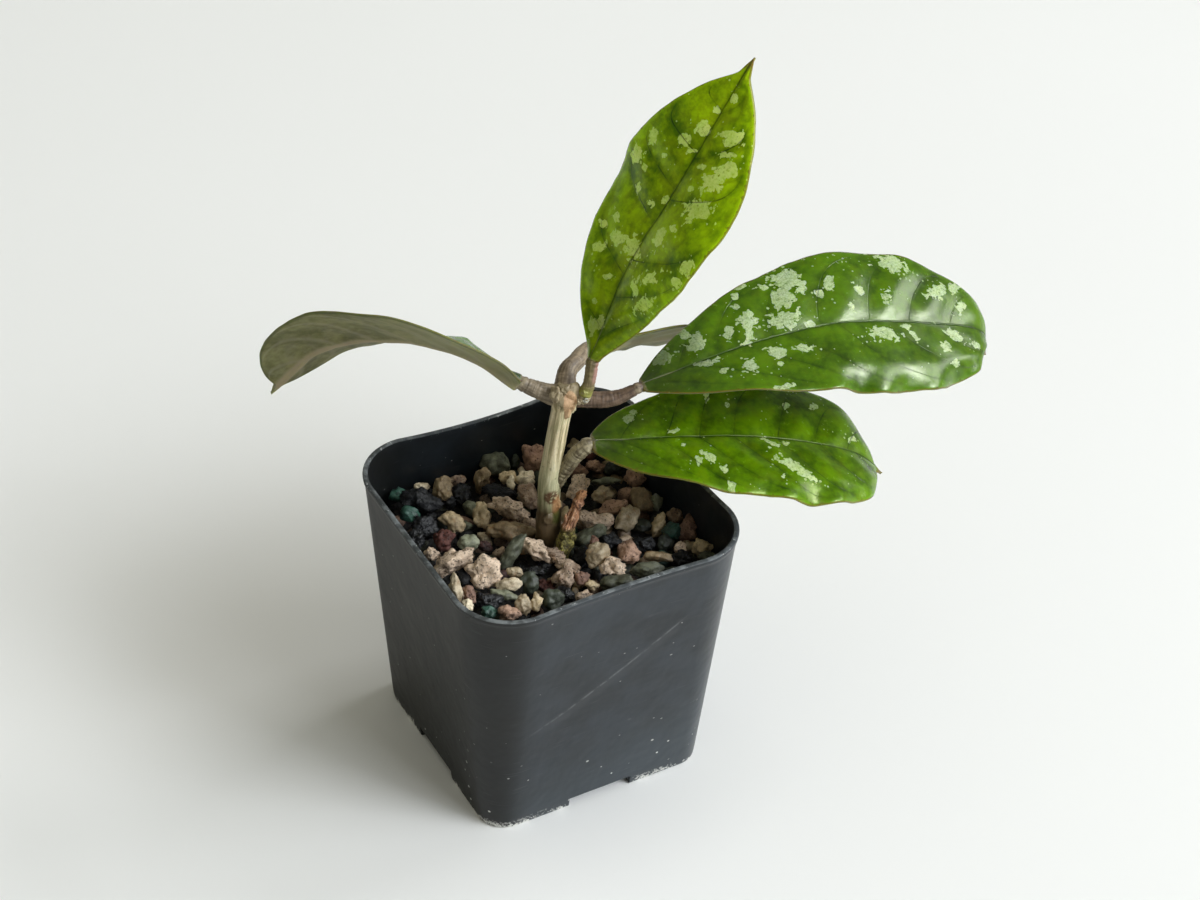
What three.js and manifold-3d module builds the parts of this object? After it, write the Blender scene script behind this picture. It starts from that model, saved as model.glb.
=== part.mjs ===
// Potted hoya: a square tapered plastic pot filled with mixed gravel, a short woody stem with an
// old dead stub beside it, and five leathery leaves, each on its own thick petiole.
// Millimetres, +Z up. The origin is the centre of the pot's flat underside.
import * as THREE from 'three';
import { mergeVertices } from 'three/addons/utils/BufferGeometryUtils.js';
import Module from 'manifold-3d';

const wasm = await Module();
wasm.setup();

// ---- driving dimensions -------------------------------------------------------------------------

const CLEARANCE = 0.3; // gap between pieces that touch on the real plant

const POT = {
  height: 74,
  baseHalf: 30.5, // half the width across the flat sides at the base
  rimHalf: 37.2, // the same just under the lip
  baseCorner: 7, // corner radius at the base
  rimCorner: 14.3, // corner radius at the rim
  wall: 1.1,
  floor: 1.2,
  lipHeight: 1.2,
  lipOut: 0.3,
  edgeRound: 0.7, // small round between the walls and the underside
  // how far the middle of each side of the rim is pushed in by the filling
  bow: { left: 0, right: 0.9, front: 0.8, back: 1.7 },
};

const NOTCH = { width: 17.5, height: 3, depth: 9, slotLength: 10, slotWidth: 2.6, slotInset: 5.5 };

const GRAVEL = {
  level: 60.2, // top of the bed that carries the grains
  seed: 41,
  grainCells: 10, // grains along one side of the bed
  grainSmall: 2.7, // radii
  grainLarge: 4.9,
  scatter: 0.7, // how far a grain may leave its place, as a share of the pitch
  relief: 2.2, // how much the grains differ in height
  cornerReach: 1.28, // how far into the corners the grains go, as a share of the half width
};

const STEM = {
  foot: [-0.3, -0.5, 47],
  path: [[-0.3, -0.6, 62], [-0.6, -1, 80], [0.5, -0.8, 92], [2.4, -1, 103], [3.2, -1.3, 108.2]],
  radius: 2.65,
  // the joints of the stem, each thicker by swell over a height of about twice its spread
  joints: [
    { height: 66, swell: 0.5, spread: 4 },
    { height: 80, swell: 0.35, spread: 2.5 },
    { height: 105, swell: 1.25, spread: 2.6 },
  ],
  capHeight: 106, // the stem narrows to its cut end above this
  capTaper: 0.35,
  knobs: [
    { at: [3.6, -3.2, 107], size: [2.2, 1.7, 2.6], turn: 0.3 }, // cut on the right of the top joint
    { at: [5.9, -4.4, 106.2], size: [1.7, 1.6, 2.2], turn: -0.2 }, // green foot of the upright leaf
    { at: [-1.7, -3.2, 70.5], size: [1.5, 1.1, 1.9], turn: 0.1 }, // old leaf scar low on the stem
  ],
  sides: 12,
  steps: 18,
};

const STUB = {
  path: [[0.2, -5.9, 51], [0.8, -6.6, 61], [2.2, -6.4, 67], [3.2, -4.9, 73.5], [4.6, -4.3, 78.5]],
  radius: 1.95,
  taper: 0.35,
  knots: 0.3, // height of the ring-like swellings along it
  knotCount: 2.4,
  sides: 9,
  steps: 10,
};

const ROOTS = {
  crownTop: 3.2, // radii of the root crown
  crownBottom: 2.2,
  crownHeight: 5,
  count: 6,
  reach: 20, // how far a root runs sideways and down
  drop: 26,
  thick: 1.1, // radius at the crown and at the tip
  thin: 0.5,
  sides: 6,
  steps: 7,
  seed: 7,
};

const PETIOLE = { sides: 10, steps: 10 };

// Each leaf: the petiole's route from the stem to the blade, then the blade's midrib. The half
// width is the widest reach of one side; widest says how far along the blade that is, and full how
// blunt the outline is. roll turns the blade about its midrib at the base, middle and tip. fold
// lifts each side above the flat and curl bends it further towards the margin, left then right.
const LEAVES = [
  {
    name: 'upright',
    petiole: [[6, -4.9, 107.4], [6.6, -5.1, 110], [6.7, -4.8, 112.5], [6.5, -4, 115]],
    thick: [2.1, 1.7, 1.9],
    midrib: [[6.5, -4, 115], [15.5, -4, 136.5], [26.5, -6.5, 158], [34, -7, 171], [45, -6, 187.5]],
    halfWidth: 19.5, widest: 0.51, full: 0.81,
    roll: [-10, -12, -12], fold: [12, 11], curl: [-9, -11], wave: 0.5, veins: 7,
  },
  {
    name: 'long',
    petiole: [[4.8, -0.8, 102.3], [8.6, -2.8, 102.1], [13.6, -5.6, 103.2], [19, -8, 106.5]],
    thick: [2.1, 1.8, 1.9],
    midrib: [
      [19, -8, 106.5], [37, -10, 110.5], [55.5, -12, 112.5], [73, -14, 112],
      [94, -17, 107], [110, -18, 100.5], [113.5, -18, 92],
    ],
    halfWidth: 20.5, widest: 0.58, full: 0.45,
    roll: [-13, -27, -37], fold: [8, 7], curl: [-13, 4], wave: 0.9, veins: 8,
  },
  {
    name: 'low',
    petiole: [[0.4, -1.6, 78.6], [2.6, -3.2, 83], [5, -4.5, 87.5], [7.5, -5.5, 91.5]],
    thick: [1.9, 2.1, 2.6],
    midrib: [
      [7.5, -5.5, 91.5], [26.5, -10.5, 90.5], [49.5, -17, 87], [71, -22, 79], [81.5, -23.5, 69.5],
    ],
    halfWidth: 20, widest: 0.6, full: 0.38,
    roll: [-13, -7, -14], fold: [16, 4], curl: [-12, -5], wave: 0.8, veins: 7,
  },
  {
    name: 'drooping',
    petiole: [[1, 0, 104.8], [-1.4, 1.2, 105.4], [-3.6, 2.8, 106.2], [-6, 4.5, 107.5]],
    thick: [2.2, 2, 1.9],
    midrib: [
      [-6, 4.5, 107.5], [-18, 13.5, 115], [-30.5, 27, 114], [-42.5, 39.5, 106], [-51.5, 47.5, 91],
    ],
    halfWidth: 19.5, widest: 0.48, full: 0.59,
    roll: [-30, -40, -44], fold: [10, 9], curl: [1, -1], wave: 0.4, veins: 7,
  },
  {
    name: 'rear',
    petiole: [[3.6, 0.4, 106], [5.4, 2.8, 109.4], [9, 5, 111.5], [13, 8.5, 109.8], [17, 12, 105.5]],
    thick: [2.2, 2, 1.9],
    midrib: [[17, 12, 105.5], [36, 14, 101.5], [57, 17.5, 93], [69, 23, 83], [77, 32, 65]],
    halfWidth: 17.5, widest: 0.54, full: 0.75,
    roll: [54, 32, 22], fold: [4, 6], curl: [-6, -6], wave: 0.5, veins: 7,
  },
];

const BLADE = {
  rows: 24,
  columns: [-1, -0.78, -0.52, -0.26, -0.07, 0.07, 0.26, 0.52, 0.78, 1],
  edgeThick: 0.7,
  ribThick: 1.3,
  neckThick: 1.9, // extra thickness where the petiole runs into the midrib
  groove: 0.35, // how deep the midrib lies in the upper face
  quilt: 0.4, // swell of the blade between two side veins
  veinSweep: 0.16, // how far a side vein runs towards the tip by the margin, as a share of the blade
  ribSpread: 0.12, // half width of the midrib's swelling, as a share of the half blade
  tipHalf: 0.35, // least half width, at the tip
};

const COLOURS = {
  pot: 0x34383a, gravel: 0xa08c7c, stem: 0x8e8462, stub: 0x9a6b3c, root: 0xb09a74,
  petiole: 0x7d6a4d, blade: 0x4e7d22,
};

// ---- helpers ------------------------------------------------------------------------------------

const vec = (p) => new THREE.Vector3(...p);
const mix = (a, b, t) => a + (b - a) * t;
const smooth = (t) => t * t * (3 - 2 * t);

// A small repeatable random sequence.
function randomFrom(seed) {
  let state = seed;
  return () => {
    state = (state * 16807) % 2147483647;
    return state / 2147483647;
  };
}

function bare(geometry) {
  const copy = geometry.clone();
  copy.deleteAttribute('normal');
  copy.deleteAttribute('uv');
  return mergeVertices(copy, 1e-4);
}

function solid(geometry) {
  const g = bare(geometry);
  const vertProperties = Float32Array.from(g.attributes.position.array);
  const triVerts = Uint32Array.from(g.index.array);
  return new wasm.Manifold(new wasm.Mesh({ numProp: 3, vertProperties, triVerts }));
}

function geometryOf(manifold) {
  const mesh = manifold.getMesh();
  const g = new THREE.BufferGeometry();
  g.setAttribute('position', new THREE.BufferAttribute(Float32Array.from(mesh.vertProperties), 3));
  g.setIndex(new THREE.BufferAttribute(Uint32Array.from(mesh.triVerts), 1));
  return g;
}

const unite = (solids) => solids.reduce((all, next) => all.add(next));

// The one body with the most volume: hollows that fusing seals are filled, loose scraps are left.
function mainBody(manifold) {
  return manifold.decompose().reduce((best, next) => (next.volume() > best.volume() ? next : best));
}

function moveVertices(geometry, place) {
  const position = geometry.attributes.position;
  const v = new THREE.Vector3();
  for (let i = 0; i < position.count; i += 1) {
    v.fromBufferAttribute(position, i);
    position.setXYZ(i, ...place(v).toArray());
  }
  return geometry;
}

function namedMesh(name, body, colour, roughness) {
  const geometry = geometryOf(body);
  geometry.computeVertexNormals();
  const material = new THREE.MeshStandardMaterial({ color: colour, roughness, metalness: 0 });
  const mesh = new THREE.Mesh(geometry, material);
  mesh.name = name;
  return mesh;
}

// A round limb along a curve. radiusAt gives the radius from 0 at the start to 1 at the end.
function limb(points, radiusAt, sides, steps) {
  const curve = new THREE.CatmullRomCurve3(points.map(vec), false, 'centripetal');
  const frames = curve.computeFrenetFrames(steps);
  const straight = new THREE.CylinderGeometry(1, 1, 1, sides, steps);
  return solid(moveVertices(straight, (v) => {
    const step = Math.round((0.5 - v.y) * steps);
    const t = step / steps;
    const radius = radiusAt(t);
    const at = curve.getPointAt(t);
    at.addScaledVector(frames.normals[step], v.x * radius);
    return at.addScaledVector(frames.binormals[step], v.z * radius);
  }));
}

// ---- pot ----------------------------------------------------------------------------------------

const potHalf = (z) => mix(POT.baseHalf, POT.rimHalf, z / POT.height);
const potCorner = (z) => mix(POT.baseCorner, POT.rimCorner, z / POT.height);

// How far a point of the wall is pushed in: most at the middle of a side of the rim, none at the
// corners or the base. across runs from -1 to 1 along the side.
function bowAt(amount, across, z) {
  const rise = Math.max(z, 0) / POT.height;
  return amount * Math.max(1 - across * across, 0) * rise * rise;
}

// A rounded square prism with one outline for each level, a level being [z, half width, corner].
function potPrism(levels) {
  const shape = new THREE.Shape();
  const sidePoints = [-0.25, 0, 0.25];
  for (let side = 0; side < 4; side += 1) {
    const turn = (side * Math.PI) / 2;
    const along = new THREE.Vector2(Math.cos(turn), Math.sin(turn));
    const out = new THREE.Vector2(-along.y, along.x).negate();
    for (const s of sidePoints) {
      const p = out.clone().add(along.clone().multiplyScalar(s));
      if (side === 0 && s === sidePoints[0]) shape.moveTo(p.x, p.y);
      else shape.lineTo(p.x, p.y);
    }
    const corner = out.clone().add(along).multiplyScalar(0.5);
    shape.absarc(corner.x, corner.y, 0.5, turn - Math.PI / 2, turn, false);
  }
  const geometry = new THREE.ExtrudeGeometry(shape, {
    depth: levels.length - 1, steps: levels.length - 1, curveSegments: 5, bevelEnabled: false,
  });
  return solid(moveVertices(bare(geometry), (v) => {
    const [z, half, corner] = levels[Math.round(v.z)];
    // the unit outline has its corners' centres at 0.5 and its sides at 1
    const place = (value) => {
      const core = THREE.MathUtils.clamp(value, -0.5, 0.5);
      return core * 2 * (half - corner) + (value - core) * 2 * corner;
    };
    const push = (value, across, low, high) => {
      if (Math.abs(value) < 0.99) return 0;
      return -Math.sign(value) * bowAt(value > 0 ? high : low, across * 2, z);
    };
    const { left, right, front, back } = POT.bow;
    const x = place(v.x) + push(v.x, v.y, left, right);
    const y = place(v.y) + push(v.y, v.x, front, back);
    return new THREE.Vector3(x, y, z);
  }));
}

// Levels of the pot's surface moved inwards by inset, from one height to another.
function levelsBetween(from, to, inset) {
  const count = 4;
  return Array.from({ length: count }, (_, i) => {
    const z = mix(from, to, i / (count - 1));
    return [z, potHalf(z) - inset, Math.max(potCorner(z) - inset, 2)];
  });
}

// Copies of a shape on the +X side, turned onto all four sides of the pot.
function onFourSides(geometry) {
  return unite([0, 1, 2, 3].map((side) => solid(geometry.clone().rotateZ((side * Math.PI) / 2))));
}

// The four raised places under the middles of the sides, grown by margin on every side.
function notches(margin) {
  const { width, height, depth } = NOTCH;
  const reach = POT.baseHalf + 4;
  const length = depth + margin + (reach - POT.baseHalf);
  const below = 1;
  const box = new THREE.BoxGeometry(length, width + 2 * margin, height + margin + below);
  return onFourSides(box.translate(reach - length / 2, 0, (height + margin - below) / 2));
}

function drainSlots() {
  const { slotWidth, slotLength, slotInset, height } = NOTCH;
  const box = new THREE.BoxGeometry(slotWidth, slotLength, 2 * height);
  return onFourSides(box.translate(POT.baseHalf - slotInset, 0, height + 1));
}

function potBody() {
  const { height, lipHeight, lipOut, edgeRound, wall, floor } = POT;
  const lipFoot = height - lipHeight;
  const outer = potPrism([
    [0, potHalf(0) - edgeRound, potCorner(0)],
    ...levelsBetween(edgeRound, lipFoot - lipOut, 0),
    [lipFoot, potHalf(lipFoot) + lipOut, potCorner(lipFoot)],
    [height, potHalf(height) + lipOut, potCorner(height)],
  ]);
  const inner = potPrism(levelsBetween(floor, height + 1, wall));
  const shell = outer.subtract(notches(0)).subtract(inner.subtract(notches(wall)));
  return shell.subtract(drainSlots());
}

// ---- stem, stub and roots -----------------------------------------------------------------------

function stemShaft(extra) {
  const route = [STEM.foot, ...STEM.path];
  const curve = new THREE.CatmullRomCurve3(route.map(vec), false, 'centripetal');
  const radiusAt = (t) => {
    const { z } = curve.getPointAt(t);
    const bump = ({ height, swell, spread }) => swell * Math.exp(-(((z - height) / spread) ** 2));
    const swelling = STEM.joints.reduce((sum, joint) => sum + bump(joint), 0);
    return STEM.radius + swelling - STEM.capTaper * Math.max(z - STEM.capHeight, 0) + extra;
  };
  return limb(route, radiusAt, STEM.sides, STEM.steps);
}

function mainStem() {
  const knobs = STEM.knobs.map(({ at, size, turn }) => {
    const knob = new THREE.IcosahedronGeometry(1, 1);
    return solid(knob.scale(...size).rotateZ(turn).translate(...at));
  });
  return unite([stemShaft(0), ...knobs]);
}

function stubBody(extra) {
  const { radius, taper, knots, knotCount } = STUB;
  const radiusAt = (t) => radius + knots * Math.sin(t * knotCount * 2 * Math.PI) - taper * t + extra;
  return limb(STUB.path, radiusAt, STUB.sides, STUB.steps);
}

function rootCluster(extra) {
  const random = randomFrom(ROOTS.seed);
  const top = STEM.foot[2] - CLEARANCE;
  const { crownTop, crownBottom, crownHeight } = ROOTS;
  const [footX, footY] = STEM.foot;
  const height = crownHeight + 2 * extra;
  const crown = new THREE.CylinderGeometry(crownTop + extra, crownBottom + extra, height, 10);
  crown.rotateX(Math.PI / 2).translate(footX, footY, top - crownHeight / 2);
  const roots = Array.from({ length: ROOTS.count }, (_, i) => {
    const heading = ((i + 0.6 * random()) / ROOTS.count) * 2 * Math.PI;
    const reach = ROOTS.reach * (0.75 + 0.35 * random());
    const drop = ROOTS.drop * (0.7 + 0.4 * random());
    const sway = (random() - 0.5) * 0.9;
    const start = crownHeight / 2;
    const route = [0, 0.3, 0.65, 1].map((t) => [
      footX + Math.cos(heading + sway * t) * (1 + reach * t),
      footY + Math.sin(heading + sway * t) * (1 + reach * t),
      top - start - drop * t * t,
    ]);
    return limb(route, (t) => mix(ROOTS.thick, ROOTS.thin, t) + extra, ROOTS.sides, ROOTS.steps);
  });
  return unite([solid(crown), ...roots]);
}

// ---- gravel -------------------------------------------------------------------------------------

// One angular grain: an icosahedron with its corners moved in or out, squashed and turned.
function grain(centre, radius, random) {
  const stone = new THREE.IcosahedronGeometry(1, 0);
  const dent = (v) => 0.86 + 0.2 * Math.sin(v.x * 7 + v.y * 5 + v.z * 9 + radius * 11);
  moveVertices(stone, (v) => v.multiplyScalar(dent(v)));
  const long = radius * (1 + 0.3 * random());
  const wide = radius * (0.75 + 0.25 * random());
  const high = radius * (0.6 + 0.3 * random());
  stone.scale(long, wide, high);
  stone.rotateX(random() * 0.7).rotateY(random() * 0.7).rotateZ(random() * Math.PI);
  return solid(stone.translate(...centre));
}

function gravelBody() {
  const random = randomFrom(GRAVEL.seed);
  const side = POT.wall + CLEARANCE;
  const bottom = POT.floor + CLEARANCE;
  const room = potPrism(levelsBetween(bottom, POT.height, side)).subtract(notches(side));
  const bed = potPrism(levelsBetween(bottom, GRAVEL.level, side));
  const half = potHalf(GRAVEL.level) - side;
  const pitch = (2 * half) / GRAVEL.grainCells;
  const grains = [];
  for (let row = 0; row < GRAVEL.grainCells; row += 1) {
    for (let cell = 0; cell < GRAVEL.grainCells; cell += 1) {
      const x = -half + (cell + 0.5 + (random() - 0.5) * GRAVEL.scatter) * pitch;
      const y = -half + (row + 0.5 + (random() - 0.5) * GRAVEL.scatter) * pitch;
      const radius = mix(GRAVEL.grainSmall, GRAVEL.grainLarge, random() ** 2);
      const z = GRAVEL.level + (random() - 0.35) * GRAVEL.relief;
      const inReach = Math.hypot(x, y) < potHalf(GRAVEL.level) * GRAVEL.cornerReach;
      if (inReach) grains.push(grain([x, y, z], radius, random));
    }
  }
  return mainBody(unite([bed, ...grains]).intersect(room));
}

// ---- leaves -------------------------------------------------------------------------------------

const TIP_START = 0.12; // length of the drawn-out tip, as a share of the blade
const BODY_END = 0.95;
const NECK_WIDTH = 0.1;
const TIP_WIDTH = 0.2;

// Half width along the blade, 1 at the widest.
function outlineAt(leaf, t) {
  const skew = Math.log(0.5) / Math.log(leaf.widest / BODY_END);
  const body = Math.max(Math.sin(Math.PI * Math.min(t / BODY_END, 1) ** skew), 0) ** leaf.full;
  const tip = mix(NECK_WIDTH, TIP_WIDTH, t) * THREE.MathUtils.clamp((1 - t) / TIP_START, 0, 1);
  return Math.cbrt(body ** 3 + tip ** 3);
}

function bladeFrame(leaf, curve, t) {
  const tangent = curve.getTangentAt(t);
  const side = new THREE.Vector3().crossVectors(tangent, new THREE.Vector3(0, 0, 1)).normalize();
  const normal = new THREE.Vector3().crossVectors(side, tangent);
  const [base, middle, tip] = leaf.roll;
  const degrees = base * (1 - t) * (1 - 2 * t) + 4 * middle * t * (1 - t) + tip * t * (2 * t - 1);
  const roll = THREE.MathUtils.degToRad(degrees);
  return {
    at: curve.getPointAt(t),
    side: side.clone().multiplyScalar(Math.cos(roll)).addScaledVector(normal, Math.sin(roll)),
    normal: normal.multiplyScalar(Math.cos(roll)).addScaledVector(side, -Math.sin(roll)),
  };
}

// A point of the blade's middle surface and the direction its upper face looks there. u runs from
// -1 at the left margin to 1 at the right one, t from the neck to the tip.
function bladePoint(leaf, curve, u, t) {
  const { at, side, normal } = bladeFrame(leaf, curve, t);
  const hand = u < 0 ? 0 : 1;
  const sign = u < 0 ? -1 : 1;
  const reach = Math.abs(u);
  const bend = THREE.MathUtils.degToRad(leaf.fold[hand] + leaf.curl[hand] * reach);
  const width = Math.max(leaf.halfWidth * outlineAt(leaf, t), BLADE.tipHalf) * reach;
  const look = normal.clone().multiplyScalar(Math.cos(bend)).addScaledVector(side, -sign * Math.sin(bend));
  const point = at.clone();
  point.addScaledVector(side, sign * width * Math.cos(bend));
  point.addScaledVector(normal, width * Math.sin(bend));
  const ends = Math.sin(Math.PI * t);
  const phase = (t - BLADE.veinSweep * reach ** 1.2) * leaf.veins + 0.5 * hand;
  const swell = BLADE.quilt * (Math.abs(Math.sin(Math.PI * phase)) - 0.5) * Math.sin(Math.PI * reach);
  const ripple = leaf.wave * reach ** 3 * Math.sin(Math.PI * (leaf.veins * 1.1 * t + 0.6 * hand));
  point.addScaledVector(look, (swell + ripple) * ends);
  return { point, look: u === 0 ? normal : look };
}

function bladeBody(leaf) {
  const curve = new THREE.CatmullRomCurve3(leaf.midrib.map(vec), false, 'catmullrom', 0.5);
  curve.arcLengthDivisions = 400;
  const { rows, columns } = BLADE;
  const spans = columns.length - 1;
  const plane = new THREE.PlaneGeometry(2, 1, spans, rows);
  const count = (spans + 1) * (rows + 1);
  const vertices = new Float32Array(count * 6);
  for (let i = 0; i < count; i += 1) {
    const u = columns[i % (spans + 1)];
    const t = 1 - Math.floor(i / (spans + 1)) / rows;
    const { point, look } = bladePoint(leaf, curve, u, t);
    const rib = Math.exp(-((u / BLADE.ribSpread) ** 2)) * (1 - 0.7 * t);
    const neck = BLADE.neckThick * Math.exp(-t * 22) * (1 - 0.7 * Math.abs(u));
    const thick = mix(BLADE.ribThick, BLADE.edgeThick, Math.abs(u)) + neck;
    const up = thick / 2 - BLADE.groove * rib * Math.min(t * 8, 1);
    const down = thick / 2 + 2 * BLADE.groove * rib;
    point.clone().addScaledVector(look, up).toArray(vertices, i * 3);
    point.clone().addScaledVector(look, -down).toArray(vertices, (count + i) * 3);
  }
  const upper = Array.from(plane.index.array);
  const lower = [];
  for (let i = 0; i < upper.length; i += 3) {
    lower.push(upper[i + 2] + count, upper[i + 1] + count, upper[i] + count);
  }
  const corner = (column, row) => row * (spans + 1) + column;
  const rim = [];
  for (let c = 0; c < spans; c += 1) rim.push(corner(c, rows));
  for (let r = rows; r > 0; r -= 1) rim.push(corner(spans, r));
  for (let c = spans; c > 0; c -= 1) rim.push(corner(c, 0));
  for (let r = 0; r < rows; r += 1) rim.push(corner(0, r));
  const edge = [];
  rim.forEach((p, i) => {
    const q = rim[(i + 1) % rim.length];
    edge.push(q, p, p + count, q, p + count, q + count);
  });
  const geometry = new THREE.BufferGeometry();
  geometry.setAttribute('position', new THREE.BufferAttribute(vertices, 3));
  geometry.setIndex([...upper, ...lower, ...edge]);
  return mainBody(solid(geometry).subtract(petioleBody(leaf, CLEARANCE)));
}

// The petiole, or with extra the socket for it, wider and longer by that much.
function petioleBody(leaf, extra) {
  const route = leaf.petiole.map(vec);
  const last = route[route.length - 1];
  const run = last.clone().sub(route[route.length - 2]).normalize();
  last.addScaledVector(run, extra);
  const [root, waist, neck] = leaf.thick;
  const radiusAt = (t) => (t < 0.5 ? mix(root, waist, smooth(t * 2)) : mix(waist, neck, smooth(t * 2 - 1)));
  return limb(route.map((p) => p.toArray()), (t) => radiusAt(t) + extra, PETIOLE.sides, PETIOLE.steps);
}

// ---- the plant in its pot -----------------------------------------------------------------------

const plant = new THREE.Group();
const add = (...piece) => plant.add(namedMesh(...piece));

const petioleSockets = unite(LEAVES.map((leaf) => petioleBody(leaf, CLEARANCE)));
const stem = mainStem().subtract(petioleSockets).subtract(stubBody(CLEARANCE));

add('pot', potBody(), COLOURS.pot, 0.5);
const holes = unite([stemShaft(CLEARANCE), stubBody(CLEARANCE), rootCluster(CLEARANCE)]);
add('gravel', mainBody(gravelBody().subtract(holes)), COLOURS.gravel, 0.9);
add('main_stem', mainBody(stem), COLOURS.stem, 0.75);
add('dead_stub', stubBody(0), COLOURS.stub, 0.85);
add('roots', rootCluster(0), COLOURS.root, 0.85);
for (const leaf of LEAVES) {
  add(`petiole_${leaf.name}`, petioleBody(leaf, 0), COLOURS.petiole, 0.6);
  add(`blade_${leaf.name}`, bladeBody(leaf), COLOURS.blade, 0.38);
}

export default plant;
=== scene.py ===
"""A foliage plant with five leaves, growing in gravel in a square plastic nursery pot.

Shapes are worked out in millimetres, with the pot's foot on z = 0 and its middle over the origin, and each
piece is brought to metres when it is finished.
"""

import math
import random

import bmesh
import bpy
from mathutils import Matrix, Vector, noise


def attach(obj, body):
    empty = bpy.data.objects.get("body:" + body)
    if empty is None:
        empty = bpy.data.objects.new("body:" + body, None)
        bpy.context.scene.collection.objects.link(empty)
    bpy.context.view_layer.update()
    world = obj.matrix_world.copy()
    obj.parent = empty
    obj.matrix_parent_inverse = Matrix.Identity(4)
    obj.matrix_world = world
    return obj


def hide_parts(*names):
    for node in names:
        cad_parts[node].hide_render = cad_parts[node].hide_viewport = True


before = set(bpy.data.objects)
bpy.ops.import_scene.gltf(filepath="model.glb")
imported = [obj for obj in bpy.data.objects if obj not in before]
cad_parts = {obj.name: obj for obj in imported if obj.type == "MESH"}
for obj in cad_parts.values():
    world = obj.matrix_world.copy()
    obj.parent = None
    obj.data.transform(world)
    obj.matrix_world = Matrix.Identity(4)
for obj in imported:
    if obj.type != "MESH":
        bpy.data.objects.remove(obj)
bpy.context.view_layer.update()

MM = 0.001

# ---- sizes, in mm -------------------------------------------------------------------------------

POT_HEIGHT = 74.0
POT_BASE_HALF, POT_RIM_HALF = 30.5, 37.2
POT_BASE_CORNER, POT_RIM_CORNER = 7.0, 14.3
POT_WALL, POT_FLOOR, POT_EDGE = 1.1, 1.2, 0.7
LIP_HEIGHT, LIP_OUT = 1.2, 0.3
POT_BOW = {"left": 0.0, "right": 0.9, "front": 0.8, "back": 1.7}
FOOT_GAP = {"width": 17.5, "height": 3.0, "depth": 9.0}
DRAIN_SLOT = {"width": 2.6, "length": 10.0, "inset": 5.5}

SHARP_TURN = 38  # degrees between faces from which the pot's edges stay crisp

BED_BOTTOM, BED_TOP = 4.6, 57.5
STONE_SWELL = 1.08  # how much larger the top stones are drawn than their rows say
TOP_LEVEL = 58.0  # stones above this height lie on top
LOOSE_LAYERS = [(59.0, 1.4, 0.92, 9000), (56.8, 0.9, 0.85, 5000)]  # height, its spread, closeness, tries
LOOSE_RADIUS = (1.8, 3.4)

STEM_ROUTE = [
    (-0.3, -0.5, 47), (-0.3, -0.6, 62), (-0.6, -1, 80), (0.8, -0.8, 92), (2.4, -1, 103), (3.2, -1.3, 108.2),
]
STEM_RADIUS = 2.65
STEM_JOINTS = [(66, 0.5, 4), (80, 0.15, 5), (105, 1.25, 2.6)]  # height, swelling, spread
STEM_KNOBS = [
    ((3.6, -3.2, 107), (2.2, 1.7, 2.6)), ((5.9, -4.4, 106.2), (1.7, 1.6, 2.2)),
    ((-1.7, -3.2, 70.5), (1.5, 1.1, 1.9)),
]
STEM_BUDS = [
    ((4.3, -5.2, 105.6), (0.9, 0.8, 0.8)), ((5.6, -5.9, 105.9), (0.8, 0.7, 0.9)),
    ((2.2, -3.2, 108.2), (1.5, 1.0, 1.2)), ((-0.3, -2.2, 107), (1.4, 1.5, 1.9)),
    ((2.9, -3.0, 103.6), (1.6, 1.3, 3.4)), ((-0.9, -3.0, 77), (1.2, 0.7, 1.2)),
    ((0.5, -2.8, 74), (1.2, 0.8, 1.7)), ((5.5, -5.6, 108.2), (0.9, 0.9, 0.9)),
]
STUB_ROUTE = [
    (0.2, -5.9, 51), (0.5, -6.7, 61), (1.1, -6.6, 65), (2.4, -6.1, 69.5), (4.1, -5.6, 72.9), (5.2, -5.2, 75),
    (6.2, -4.9, 77.2),
]
STUB_RADII = [  # share of the length, radius
    (0, 1.7), (0.36, 1.5), (0.44, 2.0), (0.52, 2.1), (0.57, 1.7), (0.65, 1.75), (0.72, 1.3), (0.84, 1.15),
    (0.9, 1.3), (0.94, 0.95), (0.975, 1.1), (1, 1.0),
]
STUB_KNOBS = [
    ((-0.2, -8.0, 64.4), (1.1, 0.8, 0.9)), ((2.4, -7.8, 66.8), (0.9, 0.8, 1.3)),
    ((0.3, -7.6, 67.6), (0.8, 0.9, 0.8)), ((6.1, -5.3, 77), (1.1, 0.9, 1.0)),
    ((4.6, -6.0, 74.6), (1.2, 0.8, 0.8)), ((1.0, -6.6, 72.2), (0.4, 0.3, 1.3)),
]
SPLINTERS = 14

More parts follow.
